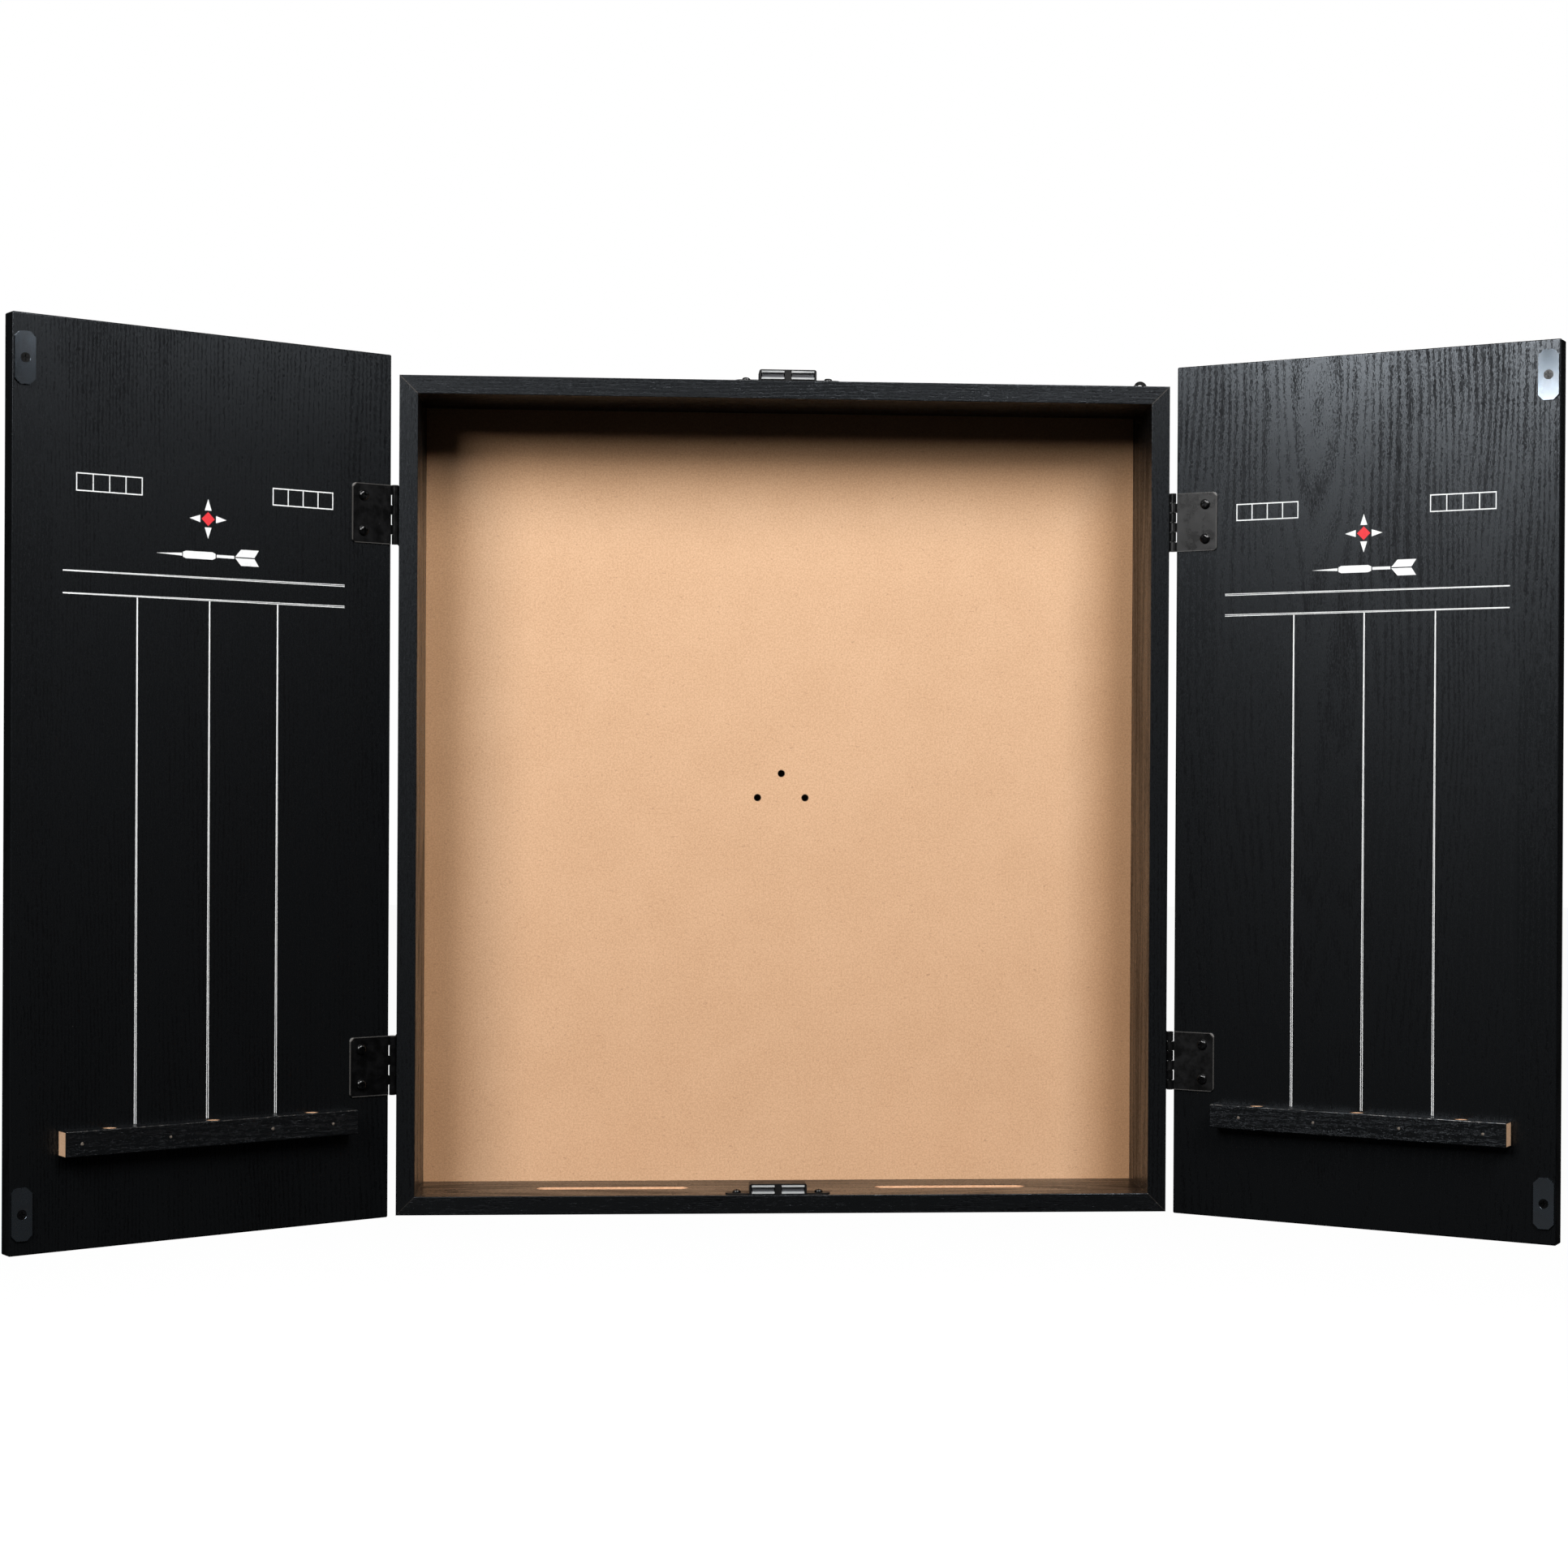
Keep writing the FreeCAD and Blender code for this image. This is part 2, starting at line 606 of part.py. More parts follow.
def hinge_leaf(label, side, offset, bore, first_knuckle):
    """A hinge leaf in the door's frame, with every second knuckle from `first_knuckle` up.

    `offset` is the distance from the pin's axis to the face that the leaf is screwed to.
    """
    body = new_body(label)
    low = -d["hinge_length"] / 2
    sketch = new_sketch(body, "XY_Plane", low)
    circle(sketch, 0, 0, d["barrel_radius"])
    pad(body, sketch, d["hinge_length"])
    sketch = new_sketch(body, "XY_Plane", low)
    rectangle(sketch, 0, -offset, d["leaf_reach"] * -side, d["leaf_thick"] - offset)
    pad(body, sketch, d["hinge_length"])
    round_edges(body, lambda box: stands_at(box, d["leaf_reach"]) and near(box.ZLength, 0),
                d["leaf_round"])
    sketch = new_sketch(body, "XZ_Plane", as_size(PROBE))
    step = d["hinge_length"] / KNUCKLES
    clear = d["barrel_radius"] + d["knuckle_gap"] * 1.5
    for knuckle in range(1 - first_knuckle, KNUCKLES, 2):
        lower = low + step * knuckle - d["knuckle_gap"]
        upper = low + step * (knuckle + 1) + d["knuckle_gap"]
        rectangle(sketch, clear * -1, lower, clear, upper)
    for end in (-1, 1):
        circle(sketch, d["leaf_hole_reach"] * -side, d["leaf_hole_rise"] * end, d["leaf_hole_radius"])
    pocket(body, sketch, as_size(PROBE * 2))
    sketch = new_sketch(body, "XY_Plane", -low)
    circle(sketch, 0, 0, bore)
    pocket(body, sketch, d["hinge_length"])
    return body


def hinge_pin(label, side, height):
    """The pin through both leaves' knuckles."""
    pin = doc.addObject("Part::Cylinder", label)
    pin.Label = label
    pin.setExpression("Radius", d["pin_radius"].text)
    pin.setExpression("Height", d["hinge_length"].text)
    place(pin, PIN_X * side, PIN_Y, height - d["hinge_length"] / 2)
    parts[label] = pin


def hinges(side, pan_master):
    """Both hinges of one door: a case leaf, a door leaf and a pin each, and their screws."""
    name = SIDE_NAMES[side]
    top_is_door = 1 if side == LEFT else 0      # the right hinges are the same ones upside down
    outward = Rotation(Vector(0, 1, 0), 90 * side)
    inward = Rotation(Vector(1, 0, 0), -90)
    case_spots = []
    door_spots = []
    for hinge in ("top", "bottom"):
        height = hinge_height(side, hinge)
        leaf = hinge_leaf(f"{name}_{hinge}_case_leaf", side, d["pin_out"], d["pin_radius"], 1 - top_is_door)
        place_on_case_side(leaf, side, height)
        leaf = hinge_leaf(f"{name}_{hinge}_door_leaf", side, d["pin_off"], d["pin_bore"], top_is_door)
        place_on_door(leaf, side, height)
        hinge_pin(f"{name}_{hinge}_hinge_pin", side, height)
        for z in leaf_screw_heights(side, hinge):
            case_spots.append(((HALF_WIDTH + d["leaf_thick"]) * side, PIN_Y + d["leaf_hole_reach"], z))
            door_spots.append((d["leaf_hole_reach"] * -side, INNER_FACE + d["leaf_thick"], z))
    place_in_case(fastener_group(f"{name}_case_leaf_screws", pan_master, case_spots, outward))
    group = fastener_group(f"{name}_door_leaf_screws", pan_master, door_spots, inward)
    place_on_door(group, side)


# ---------------------------------------------------------------- doors

def rack_brad_spots(side):
    """Where the four brads stand in a dart rack, as distance from the pin and height."""
    name = SIDE_NAMES[side]
    start = d[f"{name}_rack_start"]
    middle = d[f"{name}_rack_low"] + d["rack_height"] / 2
    shares = (0.09, 0.306, 0.657, 0.948) if side == LEFT else (0.1, 0.36, 0.65, 0.925)
    return [(start + d["rack_length"] * share, middle) for share in shares]


def strike_spots(side):
    """Heights of a door's two strike plates."""
    name = SIDE_NAMES[side]
    return d[f"{name}_top_strike"], d[f"{name}_bottom_strike"]


def door_panel(side):
    """A wrapped door with pilot holes for the pieces on its inner face."""
    body = new_body(f"{SIDE_NAMES[side]}_door_panel")
    reach = -side
    sketch = new_sketch(body, "XZ_Plane", d["pin_off"])
    near_edge = d["edge_in"] * reach
    far_edge = (d["edge_in"] + d["door_width"]) * reach
    rectangle(sketch, near_edge, DOOR_LOW, far_edge, DOOR_LOW + d["door_height"])
    pad(body, sketch, d["door_thick"])
    round_edges(body, lambda box: True, d["door_round"])
    sketch = new_sketch(body, "XZ_Plane", d["pin_off"])
    for hinge in ("top", "bottom"):
        for z in leaf_screw_heights(side, hinge):
            circle(sketch, d["leaf_hole_reach"] * reach, z, d["pan_shank_radius"] + d["pilot_clear"])
    for z in strike_spots(side):
        circle(sketch, d["strike_reach"] * reach, z, d["flat_shank_radius"] + d["pilot_clear"])
    pocket(body, sketch, d["flat_length"], reverse=True)
    sketch = new_sketch(body, "XZ_Plane", d["pin_off"])
    for x, z in rack_brad_spots(side):
        circle(sketch, x * reach, z, d["brad_radius"] + d["pilot_clear"])
    depth = d["brad_length"] + d["brad_head_height"] + d["brad_sink"] + d["pilot_extra"]
    pocket(body, sketch, depth - d["rack_thick"], reverse=True)
    place_on_door(body, side)


def dart_rack(side):
    """A wrapped bar across the door's inner face, with three upright dart holes."""
    name = SIDE_NAMES[side]
    body = new_body(f"{name}_dart_rack")
    reach = -side
    start = d[f"{name}_rack_start"] * reach
    end = (d[f"{name}_rack_start"] + d["rack_length"]) * reach
    low = d[f"{name}_rack_low"]
    sketch = new_sketch(body, "XZ_Plane", d["pin_off"])
    rectangle(sketch, start, low, end, low + d["rack_height"])
    pad(body, sketch, d["rack_thick"], reverse=True)
    face = (INNER_FACE + d["rack_thick"]).value
    round_edges(body, lambda box: box.XLength > 100 and near(box.YMax, face), d["rack_round"])
    sketch = new_sketch(body, "XY_Plane", low + d["rack_height"])
    middle = (start + end) / 2
    for hole in (-1, 0, 1):
        x = middle + d["dart_hole_pitch"] * hole
        circle(sketch, x, INNER_FACE + d["dart_hole_out"], d["dart_hole_radius"])
    pocket(body, sketch, d["rack_height"])
    brad_hole = d["brad_radius"] + d["pilot_clear"]
    head_hole = d["brad_head_radius"] + d["pilot_clear"]
    face_offset = -(INNER_FACE + d["rack_thick"])
    for radius, depth in ((brad_hole, d["rack_thick"]), (head_hole, d["brad_head_height"] + d["brad_sink"])):
        sketch = new_sketch(body, "XZ_Plane", face_offset)
        for x, z in rack_brad_spots(side):
            circle(sketch, x * reach, z, radius)
        pocket(body, sketch, depth, reverse=True)
    place_on_door(body, side)


def strike_plate(side, which):
    """A thin steel plate with cut corners and one countersunk hole."""
    body = new_body(f"{SIDE_NAMES[side]}_{which}_strike")
    x = d["strike_reach"] * -side
    z = d[f"{SIDE_NAMES[side]}_{which}_strike"]
    half_x = d["strike_width"] / 2
    half_z = d["strike_height"] / 2
    cut = d["strike_corner"]
    sketch = new_sketch(body, "XZ_Plane", d["pin_off"])
    polygon(sketch, [(x - half_x + cut, z - half_z), (x + half_x - cut, z - half_z),
                     (x + half_x, z - half_z + cut), (x + half_x, z + half_z - cut),
                     (x + half_x - cut, z + half_z), (x - half_x + cut, z + half_z),
                     (x - half_x, z + half_z - cut), (x - half_x, z - half_z + cut)])
    pad(body, sketch, d["strike_thick"], reverse=True)
    countersink(body, x, z, d["strike_thick"], INNER_FACE + d["strike_thick"])
    place_on_door(body, side)


def door(side, strike_screw, rack_brad):
    """One door: its panel, dart rack, strike plates and their fasteners."""
    name = SIDE_NAMES[side]
    outward = Rotation(Vector(1, 0, 0), -90)
    door_panel(side)
    dart_rack(side)
    for which in ("top", "bottom"):
        strike_plate(side, which)
    strike_face = INNER_FACE + d["strike_thick"]
    spots = [(d["strike_reach"] * -side, strike_face, z) for z in strike_spots(side)]
    place_on_door(fastener_group(f"{name}_strike_screws", strike_screw, spots, outward), side)
    seat = INNER_FACE + d["rack_thick"] - d["brad_sink"] - d["brad_head_height"]
    spots = [(x * -side, seat, z) for x, z in rack_brad_spots(side)]
    place_on_door(fastener_group(f"{name}_rack_brads", rack_brad, spots, outward), side)


# ---------------------------------------------------------------- catches

def catch_housing(label):
    """A black block with two open cells and a screw wing at each end, its front on Y = 0."""
    body = new_body(label)
    half_span = d["wing_span"] / 2
    half = d["catch_width"] / 2
    sketch = new_sketch(body, "XY_Plane")
    back = d["wing_setback"] + d["wing_depth"]
    rectangle(sketch, -half_span, d["wing_setback"], half_span, back)
    pad(body, sketch, d["wing_thick"])
    round_edges(body, lambda box: stands_at(box, half_span) and near(box.YLength, 0),
                d["wing_depth"] * 0.4)
    sketch = new_sketch(body, "XY_Plane")
    rectangle(sketch, -half, 0, half, d["catch_depth"])
    pad(body, sketch, d["catch_height"])
    top = d["catch_height"].value
    round_edges(body, lambda box: stands_at(box, half) and near(box.ZMin, top) and near(box.ZMax, top),
                d["catch_round"])
    sketch = new_sketch(body, "XZ_Plane")
    for end in (-1, 1):
        inner = d["catch_rib"] / 2 * end
        outer = (half - d["catch_wall"]) * end
        rectangle(sketch, inner, d["catch_floor"], outer, d["catch_height"] - d["catch_floor"])
    pocket(body, sketch, d["catch_cell_depth"])
    sketch = new_sketch(body, "XY_Plane", d["wing_thick"])
    for end in (-1, 1):
        radius = d["small_shank_radius"] + d["pilot_clear"] * 4
        circle(sketch, d["wing_hole_reach"] * end, d["wing_setback"] + d["wing_depth"] / 2, radius)
    pocket(body, sketch, d["wing_thick"])
    return body


def cell_middle():
    """The catch's middle to the middle of a cell."""
    return (d["catch_rib"] / 2 + d["catch_width"] / 2 - d["catch_wall"]) / 2


def catch_poles(label):
    """Two steel pole plates for each magnet, one under it and one on it."""
    body = new_body(label)
    sketch = new_sketch(body, "XZ_Plane", d["pole_proud"])
    half = d["pole_width"] / 2
    low = d["catch_floor"]
    high = d["catch_height"] - d["catch_floor"] - d["pole_thick"]
    for end in (-1, 1):
        middle = cell_middle() * end
        for z in (low, high):
            rectangle(sketch, middle - half, z, middle + half, z + d["pole_thick"])
    pad(body, sketch, d["pole_depth"], reverse=True)
    return body


def catch_magnets(label):
    """The two magnets, each between its pole plates."""
    body = new_body(label)
    sketch = new_sketch(body, "XZ_Plane", -d["magnet_setback"])
    half = d["magnet_width"] / 2
    low = d["catch_floor"] + d["pole_thick"]
    for end in (-1, 1):
        middle = cell_middle() * end
        rectangle(sketch, middle - half, low, middle + half, d["catch_height"] - low)
    pad(body, sketch, d["magnet_depth"], reverse=True)
    return body


def catch(name, x, floor, screw):
    """A double magnetic catch standing on the height `floor`."""
    for piece in (catch_housing(f"{name}_housing"), catch_poles(f"{name}_poles"),
                  catch_magnets(f"{name}_magnets")):
        place(piece, x, CATCH_FRONT, floor)
    seat = floor + d["wing_thick"]
    spots = [(x + d["wing_hole_reach"] * end, CATCH_SCREW_Y, seat) for end in (-1, 1)]
    place_in_case(fastener_group(f"{name}_screws", screw, spots))


# ---------------------------------------------------------------- whole cabinet

def cabinet():
    """Every piece of the cabinet."""
    pan = pan_screw("pan_screw", "pan")
    small = pan_screw("small_screw", "small")
    flat = flat_screw("flat_screw")
    rack_brad = brad("rack_brad")
    for side in (LEFT, RIGHT):
        side_panel(side)
    top_panel()
    bottom_panel()
    back_panel()
    catch("top_catch", d["top_catch_x"], HALF_HEIGHT, small)
    catch("bottom_catch", d["bottom_catch_x"], -INNER_Z, small)
    strap_spots = []
    for side in (LEFT, RIGHT):
        hanger_strap(side)
        x = strap_centre(side)[0]
        strap_spots += [(x, 0, z) for z in strap_screw_heights(side)]
        hinges(side, pan)
        door(side, flat, rack_brad)
    straps = fastener_group("hanger_strap_screws", flat, strap_spots, Rotation(Vector(1, 0, 0), -90))
    place_in_case(straps)


def check_and_export():
    """Stop on any failed object or bad shape, then write one STEP file for each piece."""
    doc.recompute()
    for thing in doc.Objects:
        if {"Invalid", "Error"} & set(thing.State):
            raise RuntimeError(f"{thing.Label} is in state {thing.State}")
    for label, thing in parts.items():
        if thing.Shape.isNull() or not thing.Shape.isValid() or not thing.Shape.Solids:
            raise RuntimeError(f"{label} has no valid solid")
    os.makedirs("parts", exist_ok=True)
    for label, thing in parts.items():
        thing.Shape.exportStep(os.path.join("parts", f"{label}.step"))
        print(f"{label}: {len(thing.Shape.Solids)} solid(s), {thing.Shape.Volume:.0f} mm3")


cabinet()
check_and_export()
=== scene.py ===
"""Dart board cabinet: finishes, printed score sheets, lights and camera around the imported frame."""

import json
import math

import bmesh
import bpy
from mathutils import Matrix, Vector


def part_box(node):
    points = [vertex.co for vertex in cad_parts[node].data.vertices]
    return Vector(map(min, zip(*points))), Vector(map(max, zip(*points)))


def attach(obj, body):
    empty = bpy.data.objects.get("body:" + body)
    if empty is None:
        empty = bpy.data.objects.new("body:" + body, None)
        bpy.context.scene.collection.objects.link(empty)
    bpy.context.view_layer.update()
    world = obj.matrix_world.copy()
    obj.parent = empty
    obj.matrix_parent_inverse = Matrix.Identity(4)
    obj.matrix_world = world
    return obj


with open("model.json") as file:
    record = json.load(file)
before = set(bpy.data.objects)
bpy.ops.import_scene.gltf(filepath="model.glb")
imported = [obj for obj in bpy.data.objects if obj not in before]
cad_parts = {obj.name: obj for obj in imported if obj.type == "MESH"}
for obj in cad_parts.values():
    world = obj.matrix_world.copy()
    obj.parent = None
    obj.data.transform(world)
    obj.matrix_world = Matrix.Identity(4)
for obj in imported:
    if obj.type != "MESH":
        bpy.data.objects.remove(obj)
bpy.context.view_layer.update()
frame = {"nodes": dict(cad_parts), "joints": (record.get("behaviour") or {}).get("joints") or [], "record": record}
NODES = frame["nodes"]

MM = 0.001
LEFT = -1
RIGHT = 1
SIDE_NAMES = {LEFT: "left", RIGHT: "right"}

# The case, from the frame
SIDE_LOW, SIDE_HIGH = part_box("right_side_panel")
FLOOR_LOW, FLOOR_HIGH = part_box("bottom_panel")
BACK_LOW, BACK_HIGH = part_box("back_panel")
CASE_LOW = SIDE_LOW.z
CASE_HIGH = SIDE_HIGH.z
CASE_MIDDLE = (CASE_LOW + CASE_HIGH) / 2
PANEL = FLOOR_HIGH.z - FLOOR_LOW.z


def bracket_holes():
    """The three holes for a board bracket, each (x, z, radius)."""
    mounts = {mount["name"]: mount for mount in frame["record"]["mounts"]}
    lower, upper = mounts["bracket_lower_holes"], mounts["bracket_upper_hole"]
    half = lower["dims"]["spacing_x_mm"] * MM / 2
    radius = lower["dims"]["hole_r_mm"] * MM
    x, _, z = lower["pos_m"]
    high_x, _, high_z = upper["pos_m"]
    return [(x - half, z, radius), (x + half, z, radius), (high_x, high_z, upper["dims"]["r_mm"] * MM)]


class DoorFrame:
    """A door's own frame: x runs from the pin to the free edge, y into the case when shut."""

    def __init__(self, side):
        name = SIDE_NAMES[side]
        joint = next(row for row in frame["joints"] if row["child"] == f"{name}_door")
        self.side = side
        self.name = name
        self.body = f"{name}_door"
        self.pin = Vector(joint["pos_m"])
        opened = math.radians(-joint["range_deg"][0]) * side
        self.matrix = Matrix.Translation(self.pin) @ Matrix.Rotation(opened, 4, "Z")
        low, high = self.local_box(f"{name}_door_panel")
        self.inner_face = high.y
        self.hinge_edge = low.x if side == LEFT else high.x
        self.reach = -side

    def local_box(self, node):
        """Lowest and highest corners of a CAD node in this frame."""
        back = self.matrix.inverted()
        points = [back @ vertex.co for vertex in NODES[node].data.vertices]
        low = Vector(min(point[axis] for point in points) for axis in range(3))
        high = Vector(max(point[axis] for point in points) for axis in range(3))
        return low, high

    def point(self, along, height, out):
        """A place on the inner face, in metres: along from the hinge edge, height above the case's foot."""
        x = self.hinge_edge + along * self.reach
        return self.matrix @ Vector((x, self.inner_face + out, CASE_LOW + height - self.pin.z))


DOORS = {side: DoorFrame(side) for side in (LEFT, RIGHT)}


# ---------------------------------------------------------------- node graphs

class Graph:
    """A material's node tree, built by short calls. A value is a socket or a plain number."""

    def __init__(self, name):
        self.material = bpy.data.materials.new(name)
        self.material.use_nodes = True
        self.tree = self.material.node_tree
        self.shader = self.tree.nodes["Principled BSDF"]

    def feed(self, socket, value):
        if isinstance(value, bpy.types.NodeSocket):
            self.tree.links.new(value, socket)
        else:
            socket.default_value = value

    def add(self, kind, values, **settings):
        node = self.tree.nodes.new(f"ShaderNode{kind}")
        for key, value in settings.items():
            setattr(node, key, value)
        for key, value in values.items():
            self.feed(node.inputs[key], value)
        return node

    def math(self, operation, *values, clamp=False):
        node = self.add("Math", dict(enumerate(values)), operation=operation, use_clamp=clamp)
        return node.outputs[0]

    def scaled(self, vector, sizes):
        """The vector measured in cells of the given sizes, in metres."""
        return self.add("VectorMath", {0: vector, 1: [1 / size for size in sizes]},
                        operation="MULTIPLY").outputs[0]

    def noise(self, vector, detail=2.0, roughness=0.5, distortion=0.0):
        """Noise with cells of size 1, as a number around 0.5."""
        node = self.add("TexNoise", {"Vector": vector, "Scale": 1.0, "Detail": detail,
                                     "Roughness": roughness, "Distortion": distortion})
        return node.outputs[0]

    def ramp(self, value, start, end, low=0.0, high=1.0):
        """A smooth step from low to high as the value goes from start to end."""
        node = self.add("MapRange", {"Value": value, "From Min": start, "From Max": end,
                                     "To Min": low, "To Max": high}, interpolation_type="SMOOTHSTEP")
        return node.outputs[0]

    def mix(self, factor, first, second):
        """A colour between two colours, each (red, green, blue) or a socket."""
        values = {0: factor}
        for key, colour in ((6, first), (7, second)):
            values[key] = colour if isinstance(colour, bpy.types.NodeSocket) else (*colour, 1.0)
        return self.add("Mix", values, data_type="RGBA").outputs[2]

    def blend(self, factor, first, second):
        """A number between two numbers."""
        return self.add("Mix", {0: factor, 2: first, 3: second}, data_type="FLOAT").outputs[0]

    def place(self, matrix=None):
        """The point being shaded, in metres: in the frame's axes at rest, or in the matrix's own."""
        point = self.add("TexCoord", {}).outputs["Object"]
        if matrix is None:
            return point
        location, rotation, _ = matrix.decompose()
        values = {"Vector": point, "Location": location, "Rotation": rotation.to_euler()}
        return self.add("Mapping", values, vector_type="TEXTURE").outputs[0]

    def axes(self, vector):
        """The three parts of a vector."""
        return self.add("SeparateXYZ", {0: vector}).outputs[:]

    def inside(self, value, low, high, soft=0.02 * MM):
        """1 where the value lies between low and high, 0 outside."""
        above = self.ramp(value, low - soft, low + soft)
        below = self.ramp(value, high - soft, high + soft, 1.0, 0.0)
        return self.math("MULTIPLY", above, below)

    def specks(self, vector, cell, share, radius):
        """Scattered round dots: `share` of the cells hold one."""
        node = self.add("TexVoronoi", {"Vector": self.scaled(vector, [cell] * 3), "Scale": 1.0})
        chosen = self.math("GREATER_THAN", self.axes(node.outputs["Color"])[0], 1.0 - share)
        dot = self.ramp(node.outputs["Distance"], radius / cell * 0.5, radius / cell, 1.0, 0.0)
        return self.math("MULTIPLY", chosen, dot)

    def finish(self, colour, roughness, height=None, depth=0.1 * MM, **others):
        """Wires the shader's colour, roughness, bump and other sockets by name."""
        inputs = self.shader.inputs
        self.feed(inputs["Base Color"], colour)
        self.feed(inputs["Roughness"], roughness)
        for key, value in others.items():
            self.feed(inputs[key.replace("_", " ")], value)
        if height is not None:
            bump = self.add("Bump", {"Height": height, "Distance": depth, "Strength": 1.0})
            self.feed(inputs["Normal"], bump.outputs[0])
        return self.material


def stretched(axis, across, along):
    """Cell sizes for grain that runs along one axis, given in millimetres."""
    return [along * MM if name == axis else across * MM for name in "XYZ"]


# ---------------------------------------------------------------- wood and board

# The foil is shaded as a nearly black metal, so that its pores lose their gloss with their colour
FOIL_METAL = 0.92
FOIL_DARK = (0.0065, 0.007, 0.008)
FOIL_LIGHT = (0.0425, 0.0465, 0.051)
RING_POWER = 1.42       # rings are wide at the heart and close up away from it
RING_PACE = 0.0244
RING_BEND = 6.0         # how far slow bends push the rings, in rings
RING_WANDER = 2.2       # and how far finer ones do
DUST = (0.22, 0.22, 0.21)
BOARD_PALE = (0.70, 0.455, 0.285)
BOARD_DEEP = (0.53, 0.315, 0.178)
BOARD_FLECK = (0.26, 0.135, 0.068)
# Painted light: the foot tint is painted warm bounce light from the bottom panel, and the edge tint is painted
# ruddy shade along the back panel's sides and top
FOOT_BOUNCE_LIGHT_TINT = (1.0, 0.955, 0.92)
EDGE_SHADE_TINT = (1.0, 0.9, 0.79)
HOLE_RIM_WIDTH = 0.55 * MM      # width of the darkened rim round a drilled hole


def raw_board(g, point):
    """Raw MDF: tan, mottled, with fine brown fibres. Gives colour, roughness and height."""
    cloud = g.noise(g.scaled(point, [38 * MM] * 3), 3.0, 0.55)
    fuzz = g.noise(g.scaled(point, [1.1 * MM] * 3), 4.0, 0.72)
    fibre = g.noise(g.scaled(point, [2.6 * MM, 2.6 * MM, 1.3 * MM]), 3.0, 0.6, 0.8)
    tone = g.math("ADD", g.ramp(cloud, 0.3, 0.7, 0.0, 0.14), g.ramp(fuzz, 0.34, 0.66, 0.0, 0.74), clamp=True)
    colour = g.mix(tone, BOARD_PALE, BOARD_DEEP)
    colour = g.mix(g.ramp(fibre, 0.62, 0.74, 0.0, 0.38), colour, BOARD_FLECK)
    dots = g.specks(point, 9 * MM, 0.3, 0.45 * MM)
    colour = g.mix(g.math("MULTIPLY", dots, 0.6), colour, BOARD_FLECK)
    return colour, g.ramp(fuzz, 0.3, 0.7, 0.78, 0.92), fuzz


def growth_rings(g, point, shifted, along, heart):
    """How many growth rings lie between the heart and the point."""
    bend = g.noise(g.scaled(shifted, stretched(along, 75, 330)), 2.0, 0.5)
    wander = g.noise(g.scaled(shifted, stretched(along, 15, 190)), 1.0, 0.5)
    away = g.add("VectorMath", {0: point, 1: heart}, operation="SUBTRACT").outputs[0]
    reach = g.add("VectorMath", {0: g.scaled(away, stretched(along, 1, 9))}, operation="LENGTH")
    widening = g.math("POWER", reach.outputs["Value"], RING_POWER)
    rings = g.math("ADD", g.math("MULTIPLY", widening, RING_PACE), g.math("MULTIPLY", bend, RING_BEND))
    return g.math("ADD", rings, g.math("MULTIPLY", wander, RING_WANDER))


def foil(g, point, along, seed, heart, plain=None, gloss=0.205):
    """Black foil with an ash grain. Gives colour, roughness and height.

    `heart` is where the growth rings open out, in the point's own frame. `plain` is a mask
    that is 1 where the foil is printed smooth. `gloss` is the roughness between the pores.
    """
    shifted = g.add("VectorMath", {0: point, 1: (seed, seed * 1.7, seed * 0.6)}, operation="ADD").outputs[0]
    rings = growth_rings(g, point, shifted, along, heart)
    fleck = g.noise(g.scaled(shifted, stretched(along, 0.7, 2.2)), 2.0, 0.7)
    cloud = g.noise(g.scaled(shifted, stretched(along, 32, 120)), 2.0, 0.5)
    ragged = g.math("ADD", g.math("PINGPONG", rings, 0.5), g.math("MULTIPLY", fleck, 1.35))
    ragged = g.math("ADD", ragged, g.math("MULTIPLY", cloud, 0.5))
    ring = g.ramp(ragged, 1.04, 1.40)
    pore_noise = g.noise(g.scaled(shifted, stretched(along, 0.62, 9)), 2.0, 0.6)
    pore_start = g.blend(ring, 0.62, 0.47)
    pore_end = g.math("ADD", pore_start, 0.09)
    pores = g.add("MapRange", {"Value": pore_noise, "From Min": pore_start, "From Max": pore_end},
                  interpolation_type="SMOOTHSTEP").outputs[0]
    dark = g.math("ADD", g.math("MULTIPLY", pores, 0.36), g.math("MULTIPLY", ring, 0.43))
    dark = g.math("ADD", dark, g.ramp(fleck, 0.36, 0.66, -0.08, 0.24))
    dark = g.math("ADD", dark, g.ramp(cloud, 0.35, 0.65, -0.06, 0.2), clamp=True)
    depth = pores
    if plain is not None:
        keep = g.math("SUBTRACT", 1.0, g.math("MULTIPLY", plain, 0.22))
        dark = g.math("ADD", g.math("MULTIPLY", dark, keep), g.math("MULTIPLY", plain, 0.17), clamp=True)
        depth = g.math("MULTIPLY", pores, keep)
    colour = g.mix(dark, FOIL_LIGHT, FOIL_DARK)
    dust = g.math("MULTIPLY", g.specks(shifted, 16 * MM, 0.2, 0.34 * MM), 0.7)
    colour = g.mix(dust, colour, DUST)
    roughness = g.math("ADD", g.math("MULTIPLY", dark, 0.22), gloss)
    height = g.math("ADD", g.math("MULTIPLY", depth, -0.6), g.math("MULTIPLY", fleck, 0.4))
    return colour, roughness, height


def with_raw(g, mask, wrapped, raw):
    """Foil where the mask is 0, raw board where it is 1."""
    colour = g.mix(mask, wrapped[0], raw[0])
    roughness = g.blend(mask, wrapped[1], raw[1])
    height = g.blend(mask, wrapped[2], raw[2])
    return colour, roughness, height


CHALK_GROOVES = (20 * MM, 50 * MM)      # they are cut somewhere between these, from the case front


